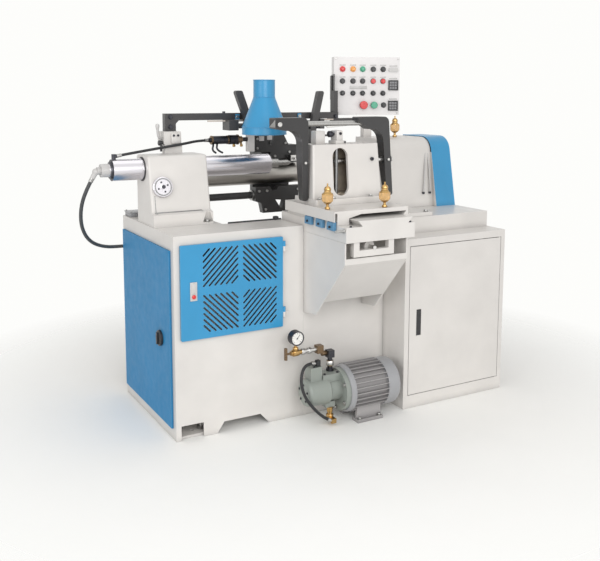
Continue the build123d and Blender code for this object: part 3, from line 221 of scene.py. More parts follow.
def glass(name, colour):
    """Tinted clear plastic with slight waves."""
    material, tree, surface = shader(name, 0.1)
    surface.inputs["Transmission Weight"].default_value = 0.45
    surface.inputs["IOR"].default_value = 1.45
    feed(tree, surface, "Base Color", mottled(tree, 80, 2, colour, shaded(colour, 0.8)))
    bumped(tree, surface, noise(tree, WAVES, 1), 0.05, 0.0005)
    return material


# Every paint below darkens its corners with painted shade, to 0.55 of its colour unless another share is
# given
white_paint = paint("white_paint", (0.77, 0.745, 0.715), (0.84, 0.82, 0.8), 0.38)
blue_paint = paint("blue_paint", (0.035, 0.315, 0.6), (0.16, 0.44, 0.7), 0.36)
# A darker, matt copy of the blue paint for the end cover: painted shade for the left side of the machine
shaded_cover_blue = paint("shaded_cover_blue", (0.018, 0.235, 0.5), (0.1, 0.36, 0.62), 0.52, coat=0.0)
black_paint = paint("black_paint", (0.026, 0.025, 0.026), (0.11, 0.11, 0.1), 0.4)
rail_black = paint("rail_black", (0.052, 0.049, 0.05), (0.13, 0.13, 0.12), 0.42)
dog_blue = paint("dog_blue", (0.1, 0.28, 0.47), (0.28, 0.42, 0.55), 0.4)
pump_green = paint("pump_green", (0.3, 0.33, 0.3), (0.42, 0.44, 0.42), 0.42, peel=0.2)
motor_grey = paint("motor_grey", (0.39, 0.375, 0.375), (0.5, 0.49, 0.49), 0.42, peel=0.12, corner_shade=0.35)
cowl_grey = paint("cowl_grey", (0.36, 0.365, 0.38), (0.47, 0.47, 0.49), 0.4)
panel_white = paint("panel_white", (0.86, 0.84, 0.835), (0.9, 0.89, 0.88), 0.4)
strap_cream = paint("strap_cream", (0.68, 0.6, 0.53), (0.75, 0.7, 0.64), 0.4)
plate_grey = paint("plate_grey", (0.62, 0.61, 0.6), (0.72, 0.71, 0.7), 0.34)
steel = machined("steel", (0.5, 0.49, 0.48), (0.38, 0.38, 0.37), 0.32)
bright_steel = machined("bright_steel", (0.7, 0.69, 0.67), (0.56, 0.55, 0.54), 0.3)
chromed_bar = machined("chromed_bar", (0.74, 0.72, 0.76), (0.71, 0.69, 0.73), 0.26, 900, AROUND_X,
                       relief=0.004, variation=0.015)
ground_shaft = machined("ground_shaft", (0.52, 0.5, 0.47), (0.46, 0.44, 0.41), 0.36, 900, AROUND_X,
                        relief=0.01, variation=0.03)
dark_steel = machined("dark_steel", (0.09, 0.09, 0.1), (0.05, 0.05, 0.06), 0.38)
bronze = machined("bronze", (0.26, 0.18, 0.11), (0.16, 0.11, 0.07), 0.36)
cast_iron = machined("cast_iron", (0.3, 0.3, 0.3), (0.2, 0.2, 0.2), 0.45, 200)
brass = machined("brass", (0.58, 0.38, 0.16), (0.44, 0.27, 0.1), 0.28, 500, AROUND_Z)
black_rubber = moulded("black_rubber", (0.016, 0.016, 0.018), 0.55, 900)
grey_rubber = moulded("grey_rubber", (0.055, 0.058, 0.06), 0.5, 900)
black_plastic = moulded("black_plastic", (0.02, 0.02, 0.022), 0.35)
red_plastic = moulded("red_plastic", (0.66, 0.035, 0.035), 0.25)
green_plastic = moulded("green_plastic", (0.06, 0.36, 0.22), 0.25)
amber_plastic = moulded("amber_plastic", (0.8, 0.34, 0.07), 0.22)
dial_white = moulded("dial_white", (0.78, 0.77, 0.74), 0.45)
cavity_brown = moulded("cavity_brown", (0.34, 0.29, 0.23), 0.7, 300)
meter_grey = moulded("meter_grey", (0.2, 0.2, 0.21), 0.3)
amber_glass = glass("amber_glass", (1.0, 0.66, 0.3))

# Hoses, along the routes of the CAD tubes


def smooth_curve(name, route, radius):
    """A round curve on one smooth spline through a route's control points."""
    curve = bpy.data.curves.new(name, "CURVE")
    curve.dimensions = "3D"
    curve.bevel_depth = radius
    curve.bevel_resolution = 6
    curve.resolution_u = 16
    curve.use_fill_caps = True
    spline = curve.splines.new("NURBS")
    spline.points.add(len(route) - 1)
    for point, place in zip(spline.points, route):
        point.co = (*place, 1)
    spline.order_u = 3
    spline.use_endpoint_u = True
    return curve


def hose(name, node, finish, diameter, route):
    """A stiff oil hose that stands for its CAD tube."""
    curve = smooth_curve(name, route, diameter / 2)
    curve.materials.append(finish)
    piece = bpy.data.objects.new(name, curve)
    SCENE.collection.objects.link(piece)
    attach(piece, "machine")
    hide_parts(node)


QUILL_HOSE, VALVE_HOSE, PUMP_HOSE = 0.016, 0.012, 0.013
QUILL_ROUTE = [(-1.003, 0.055, 1.058), (-1.034, 0.068, 0.996), (-1.046, 0.105, 0.916),
               (-1.028, 0.165, 0.828), (-0.976, 0.238, 0.754), (-0.894, 0.306, 0.712),
               (-0.8, 0.36, 0.698), (-0.738, 0.378, 0.695)]
VALVE_ROUTE = [(-0.898, 0.05, 1.147), (-0.81, 0.052, 1.16), (-0.706, 0.06, 1.174),
               (-0.585, 0.072, 1.189), (-0.505, 0.124, 1.197), (-0.446, 0.14, 1.197)]
PUMP_ROUTE = [(-0.218, -0.452, 0.274), (-0.258, -0.46, 0.282), (-0.292, -0.474, 0.258),
              (-0.304, -0.488, 0.205), (-0.288, -0.5, 0.145), (-0.242, -0.507, 0.086),
              (-0.198, -0.507, 0.046), (-0.166, -0.5, 0.028)]
hose("quill_oil_hose", "quill_hose", grey_rubber, QUILL_HOSE, QUILL_ROUTE)
hose("valve_oil_hose", "valve_hose", black_rubber, VALVE_HOSE, VALVE_ROUTE)
hose("pump_oil_hose", "pump_hose", black_rubber, PUMP_HOSE, PUMP_ROUTE)

# Finishes of the CAD nodes, and the slot that each finish belongs to

FINISH = {"white_paint": white_paint, "blue_paint": blue_paint, "black_paint": black_paint, "steel": steel,
          "dark_steel": dark_steel, "motor_grey": motor_grey, "black_rubber": black_rubber,
          "grey_rubber": grey_rubber, "brass": brass, "amber_plastic": amber_plastic,
          "black_plastic": black_plastic, "red_plastic": red_plastic, "green_plastic": green_plastic,
          "chromed_bar": chromed_bar, "iron": cast_iron, "dog_blue": dog_blue}
SLOT_OF = {finish: slot for slot, finish in FINISH.items()}
SLOT_OF.update({plate_grey: "steel", bright_steel: "steel", strap_cream: "steel", bronze: "brass",
                rail_black: "black_paint", cowl_grey: "motor_grey", meter_grey: "black_plastic"})
OWN_FINISH = {"rear_beam": ground_shaft, "pump_body": pump_green, "gauge_tap": bronze,
              "pressure_gauge": dark_steel, "guide_rod": black_paint, "control_box": panel_white,
              "quill_cylinder": chromed_bar, "end_cover": shaded_cover_blue, "template_rail": rail_black,
              "index_levers": rail_black, "panel_post": rail_black}
for subpart in frame["record"]["subparts"]:
    node = subpart["node"]
    slots = NODES[node].data.materials
    slots.clear()
    slots.append(OWN_FINISH.get(node) or FINISH[subpart["material_slot"]])


def refinish(node, finish, chosen):
    """Gives the faces of a CAD node that pass a test a finish of their own."""
    mesh = NODES[node].data
    mesh.materials.append(finish)
    number = len(mesh.materials) - 1
    for face in mesh.polygons:
        if chosen(face):
            face.material_index = number


def near_line(face, along, spot, radius):
    """Whether a face is within a radius of a line along an axis through a spot."""
    away = face.center - Vector(spot)
    away["xyz".index(along)] = 0
    return away.length < radius


FAR = math.inf
HAIR = 0.0005


def between(**limits):
    """A test for faces whose middle lies between limits along the named axes."""
    return lambda face: all(low < getattr(face.center, axis) < high
                            for axis, (low, high) in limits.items())


# The panel's own axes: across, up and out of its front
PANEL_TURN = math.radians(22)
PANEL_CORNER = (0.241, 0.16, 1.305)
PANEL_SIZE = (0.335, 0.288)
COLUMNS = (0.043, 0.096, 0.145, 0.199, 0.249)
ROWS = (0.228, 0.169, 0.109, 0.05)
LOWER_SHIFT = 0.005
DISPLAY_COLUMN, DISPLAY_HALF = 0.302, 0.023
DISPLAYS = ((0.225, 0.009), (0.149, 0.023), (0.047, 0.023))
BEZEL = 0.005
BUTTON_REACH = 0.02
PROUD, CAP_START = 0.0002, 0.0075
PANEL = (Matrix.Translation(PANEL_CORNER) @ Matrix.Rotation(-PANEL_TURN, 4, "Z")
         @ Matrix.Rotation(math.pi / 2, 4, "X"))
TO_PANEL = PANEL.inverted()


def beside(column):
    """A test for faces of a panel row near one column."""
    return lambda face: abs((TO_PANEL @ face.center).x - column) < BUTTON_REACH


def on_display(number):
    """A test for the front of one display on the panel."""
    height, half = DISPLAYS[number]

    def test(face):
        spot = TO_PANEL @ face.center
        inside = abs(spot.x - DISPLAY_COLUMN) <= DISPLAY_HALF and abs(spot.y - height) <= half
        return inside and spot.z > PROUD
    return test


def red_switch(face):
    """The caps of the two red switches at the end of the second row."""
    spot = TO_PANEL @ face.center
    last_two = spot.x > COLUMNS[3] - BUTTON_REACH
    return last_two and abs(spot.y - ROWS[1]) < BUTTON_REACH and spot.z > CAP_START


refinish("pilot_lamps", red_plastic, beside(COLUMNS[0]))
refinish("pilot_lamps", green_plastic, beside(COLUMNS[2]))
refinish("control_box", black_plastic, lambda face: (TO_PANEL @ face.center).z > PROUD)
refinish("control_box", plate_grey, on_display(0))
refinish("panel_switches", red_plastic, red_switch)

# Tool head: dark cavity behind the window, and the upright bar in it
HEAD_LOW, HEAD_HIGH = 0.97, 1.197
HEAD_FRONT, HEAD_LEAN = -0.402, 0.02
HEAD_WALL = 0.0125
CAVITY_BACK = -0.266
CAVITY = between(x=(-0.189, 0.139), z=(HEAD_LOW + 0.006, HEAD_HIGH - 0.003))
WINDOW_BAR = (-0.064, -0.3635, 1.08)
BAR_TOP, BAR_RADIUS = HEAD_HIGH - 0.012, 0.0082


def in_cavity(face):
    """Faces behind the front wall of the tool head and inside its other walls."""
    front = HEAD_FRONT + HEAD_LEAN * (face.center.z - HEAD_LOW) / (HEAD_HIGH - HEAD_LOW)
    return front + HEAD_WALL < face.center.y < CAVITY_BACK and CAVITY(face)


refinish("tool_head", cavity_brown, in_cavity)
refinish("tool_head", cast_iron, lambda face: near_line(face, "z", WINDOW_BAR, BAR_RADIUS)
         and face.center.z < BAR_TOP)

# Swing frame: steel tie rod and pivot shaft
PIVOT, PIVOT_RADIUS = (0, -0.34, 1.122), 0.0122
TIE_ROD, TIE_ROD_RADIUS = (0, -0.34, 1.285), 0.0112
refinish("swing_frame", steel, lambda face: near_line(face, "x", TIE_ROD, TIE_ROD_RADIUS))
refinish("swing_frame", bright_steel, lambda face: near_line(face, "x", PIVOT, PIVOT_RADIUS))

# Dust hood: cream strap behind the blue hood
HOOD_AXIS = (-0.267, -0.08, 1.3)
HOOD_SKIRT, HOOD_NECK = 0.099, 0.048
STRAP_TOP = 1.291
refinish("dust_hood", strap_cream, lambda face: face.center.z < STRAP_TOP + HAIR
         and not near_line(face, "z", HOOD_AXIS, HOOD_SKIRT + HAIR))

# Oilers: amber glass bowls between brass ends
OILER_FEET = {"saddle_oilers": 0.945, "headstock_oiler": 1.194}
BOWL = (0.03, 0.062)
for node, foot in OILER_FEET.items():
    refinish(node, amber_glass, between(z=(foot + BOWL[0], foot + BOWL[1])))

# Hydraulics: white dial, steel, bronze and dark fittings, lighter cowl
GAUGE = (-0.29, -0.431, 0.388)
DIAL_RADIUS, GAUGE_FOOT = 0.0282, GAUGE[2] - 0.032
RISER = between(x=(-0.147, FAR), z=(0.22, FAR))
RISER_NUT = between(z=(0.246, 0.268))
COWL_START, MOTOR_START = 0.105, -0.06
refinish("pressure_gauge", dial_white, lambda face: face.normal.y < -0.9
         and near_line(face, "y", GAUGE, DIAL_RADIUS))
refinish("pressure_gauge", brass, between(z=(-FAR, GAUGE_FOOT)))
refinish("hydraulic_fittings", bright_steel, between(x=(-0.266, -0.193), z=(0.3, FAR)))
refinish("hydraulic_fittings", bronze, between(x=(-0.1905, -0.139), z=(0.283, FAR)))
refinish("hydraulic_fittings", dark_steel, lambda face: RISER(face) and not RISER_NUT(face))
refinish("hydraulic_fittings", black_rubber, between(x=(-0.235, -0.19), z=(0.255, 0.29)))
refinish("hydraulic_fittings", steel, between(x=(-FAR, -0.6)))
refinish("pump_motor", cowl_grey, between(x=(COWL_START - HAIR, FAR)))
refinish("pump_motor", cowl_grey, between(x=(-FAR, MOTOR_START - HAIR)))

# Quill cylinder: pale gland, dark ring behind the barrel and dark ports on top
BARREL_END, PORTS_START = -0.925, 1.134
refinish("quill_cylinder", plate_grey, between(x=(-FAR, BARREL_END - 0.012)))
refinish("quill_cylinder", dark_steel, between(x=(BARREL_END - 0.0085, BARREL_END + HAIR)))
refinish("quill_cylinder", dark_steel, between(z=(PORTS_START, FAR)))

# Feed cylinder: bright rod end; tool slide: bright bit
ROD_END, ROD_EYE_RADIUS, ROD_RADIUS = (-0.069, -0.66, 0.798), 0.03, 0.0085
BIT_END = 0.142
refinish("feed_cylinder", bright_steel, lambda face: near_line(face, "x", ROD_END, ROD_EYE_RADIUS)
         and near_line(face, "y", ROD_END, ROD_RADIUS))
refinish("copy_tool_slide", bright_steel, between(y=(-FAR, BIT_END)))

# Broken edges on the plain CAD pieces


def broken_edges(node, width):
    """Rounds the sharp edges of a CAD node with modifiers, which leave its mesh as it is."""
    modifiers = NODES[node].modifiers
    weld = modifiers.new("weld", "WELD")
    weld.merge_threshold = 0.00002
    flat = modifiers.new("flat", "DECIMATE")
    flat.decimate_type = "DISSOLVE"
    flat.angle_limit = math.radians(0.5)
    flat.delimit = {"MATERIAL"}
    rounded = modifiers.new("rounded", "BEVEL")
    rounded.limit_method = "ANGLE"
    rounded.angle_limit = math.radians(40)
    rounded.width = width
    rounded.segments = 2
    rounded.profile = 0.5
    rounded.miter_outer = "MITER_ARC"
    even = modifiers.new("even", "WEIGHTED_NORMAL")
    even.keep_sharp = True


EDGE_WIDTHS = (
    (0.002, ("saddle", "slide_base", "slide_bracket", "bridge_frame", "left_pedestal", "right_cabinet",
             "headstock_body", "tailstock_body")),
    (0.0015, ("panel_post", "rail_supports", "template_rail", "copy_carriage", "swing_frame", "tool_head")),
    (0.0012, ("index_levers", "feed_cylinder", "end_cover")),
    (0.001, ("trip_dogs", "cabinet_door", "copy_tool_slide")),
    (0.0008, ("cabinet_handle",)))
for width, nodes in EDGE_WIDTHS:
    for node in nodes:
        broken_edges(node, width)

# Shapes for the added pieces

FRONT, BEHIND, LEFTWARDS, RIGHTWARDS, UP = (0, -1, 0), (0, 1, 0), (-1, 0, 0), (1, 0, 0), (0, 0, 1)
SHARP = math.radians(35)
MERGE = 1e-6


def aimed(place, along):
    """A matrix that puts a shape at a place with its own z axis along a direction."""
    return Matrix.Translation(place) @ Vector(along).to_track_quat("Z", "Y").to_matrix().to_4x4()


def shifted(matrix, x, y, z):
    """A matrix moved along its own axes."""
    return matrix @ Matrix.Translation((x, y, z))


def join(shape, part, matrix):
    """Moves a part into place and adds it to a larger shape."""
    part.transform(matrix)
    mesh = bpy.data.meshes.new("part")
    part.to_mesh(mesh)
    part.free()
    shape.from_mesh(mesh)
    bpy.data.meshes.remove(mesh)


def close(part):
    """Merges the doubles of a part and turns its faces outwards."""
    bmesh.ops.remove_doubles(part, verts=part.verts, dist=MERGE)
    bmesh.ops.recalc_face_normals(part, faces=part.faces)


def turn_on(shape, matrix, profile, steps=32):
    """Adds a closed turned shape, whose profile lists height and radius up its own axis."""
    part = bmesh.new()
    points = [part.verts.new((radius, 0, height)) for height, radius in profile]
    lines = [part.edges.new(pair) for pair in zip(points, points[1:])]
    bmesh.ops.spin(part, geom=points + lines, axis=UP, cent=(0, 0, 0), angle=math.tau, steps=steps,
                   use_merge=True)
    close(part)
    join(shape, part, matrix)


def ring_on(shape, matrix, inner, outer, height, rounding=0.0006):
    """Adds a ring with broken edges."""
    low, high = rounding, height - rounding
    profile = [(0, inner), (0, outer - rounding), (low, outer), (high, outer), (height, outer - rounding),
               (height, inner), (0, inner)]
    turn_on(shape, matrix, profile)


def pin_on(shape, matrix, radius, length, chamfer, steps=16):
    """Adds a round pin, whose chamfer is given along and across its axis."""
    along, across = chamfer
    profile = [(0, 0), (0, radius), (length - along, radius), (length, radius - across), (length, 0)]
    turn_on(shape, matrix, profile, steps)


def round_edges(part, radius, segments=2):
    """Rounds every edge of a part."""
    bmesh.ops.bevel(part, geom=part.edges[:], offset=radius, segments=segments, affect="EDGES", profile=0.5,
                    material=-1)


def block_on(shape, low, high, rounding=0.0015, matrix=Matrix()):
    """Adds a block with rounded edges between two corners."""
    part = bmesh.new()
    bmesh.ops.create_cube(part, size=1)
    low, high = Vector(low), Vector(high)
    bmesh.ops.scale(part, vec=high - low, verts=part.verts)
    bmesh.ops.translate(part, vec=(low + high) / 2, verts=part.verts)
    round_edges(part, rounding)
    join(shape, part, matrix)


def plate_on(shape, outline, along):
    """Adds a flat plate, whose outline is drawn out along a direction."""
    face = shape.faces.new([shape.verts.new(place) for place in outline])
    grown = bmesh.ops.extrude_face_region(shape, geom=[face])
    moved = [part for part in grown["geom"] if isinstance(part, bmesh.types.BMVert)]
    bmesh.ops.translate(shape, vec=along, verts=moved)
    bmesh.ops.recalc_face_normals(shape, faces=shape.faces)


def hexagon_on(shape, matrix, radius, height):
    """Adds a hexagon prism with broken edges."""
    part = bmesh.new()
    bmesh.ops.create_cone(part, cap_ends=True, segments=6, radius1=radius, radius2=radius, depth=height)
    bmesh.ops.translate(part, vec=(0, 0, height / 2), verts=part.verts)
    round_edges(part, 0.08 * radius, 1)
    join(shape, part, matrix)


def bolt_on(shape, place, along, radius):
    """Adds a hexagon bolt head on its washer."""
    matrix = aimed(place, along)
    washer = 0.3 * radius
    ring_on(shape, matrix, 0.4 * radius, 1.9 * radius, washer, 0.06 * radius)
    hexagon_on(shape, shifted(matrix, 0, 0, washer), 1.5 * radius, 1.1 * radius)


def cap_screw_on(shape, place, along, radius):
    """Adds a socket head cap screw."""
    height = 1.1 * radius
    profile = [(0, 0), (0, radius), (0.85 * height, radius), (height, 0.85 * radius), (height, 0.5 * radius),
               (0.4 * height, 0.5 * radius), (0.35 * height, 0)]
    turn_on(shape, aimed(place, along), profile, 12)


def set_screw_on(shape, place, along, radius):
    """Adds a set screw that sticks out of its lock nut."""
    matrix = aimed(place, along)
    hexagon_on(shape, matrix, 1.7 * radius, radius)
    socket = 0.4 * radius
    profile = [(0, 0), (0, radius), (1.6 * radius, radius), (1.8 * radius, 0.8 * radius),
               (1.8 * radius, socket), (1.2 * radius, socket), (1.2 * radius, 0)]
    turn_on(shape, matrix, profile, 12)


def pipe_on(shape, route, radius):
    """Adds a rigid pipe along a smooth line."""
    curve = smooth_curve("pipe", route, radius)
    holder = bpy.data.objects.new("pipe", curve)
    mesh = bpy.data.meshes.new_from_object(holder)
    part = bmesh.new()
    part.from_mesh(mesh)
    close(part)
    join(shape, part, Matrix())
    bpy.data.objects.remove(holder)
    bpy.data.curves.remove(curve)
    bpy.data.meshes.remove(mesh)


def piece(name, shape, finish, body="machine"):
    """Makes a finished shape a piece that rides on a body."""
    mesh = bpy.data.meshes.new(name)
    shape.to_mesh(mesh)
    shape.free()
    mesh.polygons.foreach_set("use_smooth", [True] * len(mesh.polygons))
    mesh.set_sharp_from_angle(angle=SHARP)
    mesh.materials.append(finish)
    holder = bpy.data.objects.new(name, mesh)
    SCENE.collection.objects.link(holder)
    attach(holder, body)


def piece_of(name, finish, add, rows, body="machine"):
    """A piece made of one kind of shape, added once for each row of values."""
    shape = bmesh.new()
    for row in rows:
        add(shape, *row)
    piece(name, shape, finish, body)


def repeated(name, add, places, along, radius, finish, body="machine"):
    """The same screw or bolt at several places, as one piece."""
    piece_of(name, finish, add, [(place, along, radius) for place in places], body)


def on_face(y, spots):
    """Places on an upright face, from spots across and up it."""
    return [(x, y, z) for x, z in spots]


def around(x, middle, radius, count, start):
    """Places evenly round an axis that runs sideways."""
    angles = [math.radians(start + 360 * i / count) for i in range(count)]
    return [(x, middle[0] + radius * math.cos(a), middle[1] + radius * math.sin(a)) for a in angles]


# Louvred door: latch plate with its paddle and red button

DOOR_FACE = -0.341
LATCH_X, LATCH_Z = (-0.7315, -0.7015), (0.583, 0.66)

left, right = LATCH_X
low, high = LATCH_Z
border, paddle_low, button_up = 0.006, low + 0.03, low + 0.017
plate = (left, DOOR_FACE - 0.003, low), (right, DOOR_FACE + 0.001, high), 0.0012
paddle = ((left + border, DOOR_FACE - 0.006, paddle_low),
          (right - border, DOOR_FACE - 0.002, high - border), 0.0015)
piece_of("louvre_latch", plate_grey, block_on, (plate, paddle), "louvre_door_body")
button = aimed(((left + right) / 2, DOOR_FACE - 0.002, button_up), FRONT)
dome = [(0, 0), (0, 0.0085), (0.004, 0.0085), (0.006, 0.006), (0.0065, 0)]
piece_of("louvre_latch_button", red_plastic, turn_on, [(button, dome)], "louvre_door_body")

# Bed: terminal box, and a dark strip of painted shade at the chip well

BED_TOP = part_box("tailstock_body")[0].z
SLIDE_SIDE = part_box("slide_base")[0].x

# Terminal box on the back corner, with its lid and screws
left, right, front, back = -0.786, -0.706, 0.246, 0.326
overhang, inset, lid_top = 0.003, 0.005, BED_TOP + 0.022
case = (left, front, BED_TOP - 0.001), (right, back, BED_TOP + 0.018), 0.003
lid = ((left - overhang, front - overhang, BED_TOP + 0.016),
       (right + overhang, back + overhang, lid_top), 0.002)
piece_of("terminal_box", cowl_grey, block_on, (case, lid))
screws = [(x, y, lid_top) for x in (left + inset, right - inset) for y in (front + inset, back - inset)]
repeated("terminal_box_screws", cap_screw_on, screws, UP, 0.0035, steel)

# Dark strip along the front of the well, painted shade where the well's inner wall lies in shadow, with a
# stop at its end
left, sunk = -0.47, BED_TOP - 0.002
shade_strip = (left, -0.134, sunk), (SLIDE_SIDE - 0.004, -0.126, BED_TOP + 0.006), 0.002
stop = (SLIDE_SIDE - 0.042, -0.14, sunk), (SLIDE_SIDE - 0.02, -0.118, BED_TOP + 0.016), 0.004
piece_of("well_shade_strip", black_rubber, block_on, (shade_strip, stop))

# Cross slide and tool head: screws, stroke stop, stroke adjuster and oilers

FLANGE_BOLTS = [(x, y, HEAD_LOW) for x in (-0.178, -0.11, 0.078, 0.137) for y in (-0.42, -0.2515)]
SADDLE_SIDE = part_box("saddle")[1].x
GIB_SCREWS = [(SADDLE_SIDE, -0.575 + 0.065 * i, 0.915) for i in range(6)]
DOG_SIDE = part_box("trip_dogs")[0].x
DOG_SCREWS = [(DOG_SIDE, y, 0.88) for y in (-0.575, -0.485, -0.392)]
HEAD_PLUG = (0.103, -0.3885, 1.13)
SLIDE_SCREWS = [(x, -0.6675, 0.888) for x in (-0.18, 0.11)]
STOP_ROD = (SLIDE_SIDE + 0.001, -0.661, 0.874)
SADDLE_OILERS = [(x, y, OILER_FEET["saddle_oilers"]) for x, y in ((-0.206, -0.53), (0.036, -0.588))]
HEADSTOCK_OILER = (0.538, 0.05, OILER_FEET["headstock_oiler"])
FILLER_UP, COLLAR_UP = 0.076, 0.0605
repeated("tool_head_bolts", bolt_on, FLANGE_BOLTS, UP, 0.0055, steel, "saddle_body")
repeated("gib_screws", set_screw_on, GIB_SCREWS, RIGHTWARDS, 0.004, dark_steel, "saddle_body")
repeated("trip_dog_screws", cap_screw_on, DOG_SCREWS, LEFTWARDS, 0.005, dark_steel, "saddle_body")
repeated("tool_head_plug", cap_screw_on, [HEAD_PLUG], FRONT, 0.008, dark_steel, "saddle_body")
repeated("slide_base_screws", cap_screw_on, SLIDE_SCREWS, UP, 0.005, dark_steel)

# Stop rod on the left of the slide base, with its lock nut
shape = bmesh.new()
matrix = aimed(STOP_ROD, LEFTWARDS)
pin_on(shape, matrix, 0.0055, 0.046, (0.002, 0.0015), 20)
hexagon_on(shape, matrix, 0.0085, 0.008)
piece("stroke_stop", shape, steel)

# Stroke adjuster on the tool head: white blocks, dark knob, screws and steel rod
top, sunk = HEAD_HIGH, HEAD_HIGH - 0.002
foot = (-0.064, -0.362, sunk), (-0.012, -0.296, top + 0.014), 0.003
knob_block = (-0.056, -0.356, top + 0.01), (-0.024, -0.3, top + 0.058), 0.006
rod_block = (-0.146, -0.332, sunk), (-0.1, -0.286, top + 0.056), 0.004
piece_of("stroke_adjuster", white_paint, block_on, (foot, knob_block, rod_block), "saddle_body")
knob = bmesh.new()
profile = [(0, 0), (0, 0.006), (0.01, 0.006), (0.01, 0.012), (0.013, 0.014), (0.026, 0.014),
           (0.029, 0.011), (0.029, 0)]
turn_on(knob, aimed((-0.056, -0.33, top + 0.042), LEFTWARDS), profile, 24)
cap_screw_on(knob, (-0.04, -0.356, top + 0.045), FRONT, 0.006)
cap_screw_on(knob, (-0.02, -0.362, top + 0.008), FRONT, 0.004)
piece("stroke_knob", knob, dark_steel, "saddle_body")
rod = aimed((-0.101, -0.309, top + 0.036), RIGHTWARDS)
rod_profile = [(0, 0), (0, 0.005), (0.046, 0.005), (0.046, 0)]
piece_of("stroke_rod", steel, turn_on, [(rod, rod_profile, 16)], "saddle_body")


def oiler_nuts(name, spots, body):
    """Hexagon feet, collars and filler caps of oilers."""
    shape = bmesh.new()
    for spot in spots:
        foot = Matrix.Translation(spot)
        hexagon_on(shape, foot, 0.0115, 0.009)
        hexagon_on(shape, shifted(foot, 0, 0, FILLER_UP), 0.015, 0.01)
        ring_on(shape, shifted(foot, 0, 0, COLLAR_UP), 0.014, 0.0225, 0.005)
    piece(name, shape, brass, body)


oiler_nuts("saddle_oiler_nuts", SADDLE_OILERS, "saddle_body")
oiler_nuts("headstock_oiler_nut", [HEADSTOCK_OILER], "machine")

# Swing frame: nut on the pivot shaft, light end of the tie rod and clamp screws

shape = bmesh.new()
hexagon_on(shape, aimed((0.2325, *PIVOT[1:]), RIGHTWARDS), 0.0155, 0.009)
plug = [(0, 0), (0, 0.01), (0.003, 0.01), (0.0045, 0.008), (0.0045, 0.004), (0.002, 0.004), (0.002, 0)]
turn_on(shape, aimed((-0.34, -0.3695, TIE_ROD[2]), FRONT), plug, 20)
for x in (-0.218, 0.206):
    cap_screw_on(shape, (x, -0.367, PIVOT[2]), FRONT, 0.006)
piece("swing_frame_fittings", shape, bright_steel, "swing_frame_body")

# Tailstock, and the clamp of the rail above it

AXIS = (0.05, 1.087)
SLOPE_RUN, SLOPE_RISE = 0.043, 0.239
SLOPE_Y, SLOPE_Z = -0.068, 0.908
CLAMP_X, CLAMP_UP, KNOB_FACE = -0.736, 0.107, 0.0136
SLOPE = math.atan2(SLOPE_RUN, SLOPE_RISE)
CLAMP_ALONG = Vector((0, -math.cos(SLOPE), math.sin(SLOPE)))
CLAMP_SPOT = Vector((CLAMP_X, SLOPE_Y + CLAMP_UP * SLOPE_RUN / SLOPE_RISE, SLOPE_Z + CLAMP_UP))

# Foot bolts, wiper rings of the quill, and dark strips of painted shade along the step of the foot and the
# groove at its left edge
foot = bmesh.new()
bolt_on(foot, (-0.546, -0.083, 0.858), UP, 0.0065)
cap_screw_on(foot, (-0.772, -0.0745, 0.9045), FRONT, 0.005)
cap_screw_on(foot, (-0.566, -0.0745, 0.9045), FRONT, 0.004)
piece("tailstock_bolts", foot, steel)
nose_wiper = aimed((-0.523, *AXIS), RIGHTWARDS), 0.0463, 0.056, 0.006
rear_wiper = aimed((-0.789, *AXIS), LEFTWARDS), 0.0463, 0.052, 0.004
piece_of("quill_wiper", black_rubber, ring_on, (nose_wiper, rear_wiper))
# Painted shade: dark strips along the step of the foot and up the slope
level = (-0.776, -0.0712, 0.9072), (-0.567, -0.06, 0.9104), 0.0008
sloping = ((-0.0375, -0.106, -0.002), (-0.0345, -0.036, 0.0006), 0.0004,
           aimed(CLAMP_SPOT, CLAMP_ALONG))
piece_of("tailstock_seam_shade", cast_iron, block_on, (level, sloping))

# Ring, grip pins and hexagon on the face of the quill clamp knob
face = aimed(CLAMP_SPOT + KNOB_FACE * CLAMP_ALONG, CLAMP_ALONG)
piece_of("clamp_knob_ring", cast_iron, ring_on, [(face, 0.033, 0.038, 0.0016)], "clamp_knob_body")
shape = bmesh.new()
for i in range(4):
    spin = face @ Matrix.Rotation(math.radians(90 * i + 20), 4, "Z")
    pin_on(shape, shifted(spin, 0.0215, 0, -0.001), 0.004, 0.004, (0.001, 0.001))
hexagon_on(shape, shifted(face, 0, 0, 0.005), 0.009, 0.0045)
piece("clamp_knob_face", shape, dark_steel, "clamp_knob_body")

# Clamp lever, knob and pinch block on the rail's left post
lever = bmesh.new()
bend = [(-0.676, 0.112, 1.212), (-0.69, 0.11, 1.214), (-0.697, 0.106, 1.232), (-0.699, 0.104, 1.262)]
grip = [(0, 0), (0, 0.007), (0.012, 0.009), (0.02, 0.007), (0.022, 0)]
pipe_on(lever, bend, 0.006)
turn_on(lever, aimed((-0.699, 0.104, 1.256), UP), grip, 20)
piece("rail_clamp_lever", lever, plate_grey)
knob = bmesh.new()
profile = [(0, 0), (0, 0.006), (0.006, 0.006), (0.008, 0.012), (0.02, 0.012), (0.023, 0.009), (0.023, 0)]
tail = [(-0.684, 0.1, 1.188), (-0.685, 0.099, 1.178), (-0.686, 0.098, 1.168), (-0.686, 0.098, 1.156)]
turn_on(knob, aimed((-0.673, 0.106, 1.193), LEFTWARDS), profile, 24)
pipe_on(knob, tail, 0.005)
piece("rail_clamp_knob", knob, black_plastic)
front = 0.078
block = (-0.644, front, 1.19), (-0.604, front + 0.01, 1.236), 0.003
piece_of("rail_pinch_block", white_paint, block_on, [block])
bolts = on_face(front, ((-0.634, 1.226), (-0.614, 1.226)))
repeated("rail_pinch_bolts", cap_screw_on, bolts, FRONT, 0.005, dark_steel)

# Headstock: bearing cap, oil tubes, guard's back plate and foot bolts

CAP_BACK, CAP_THICK = 0.378, 0.007
GUARD_SIDE, PLATE_THICK = 0.6755, 0.003

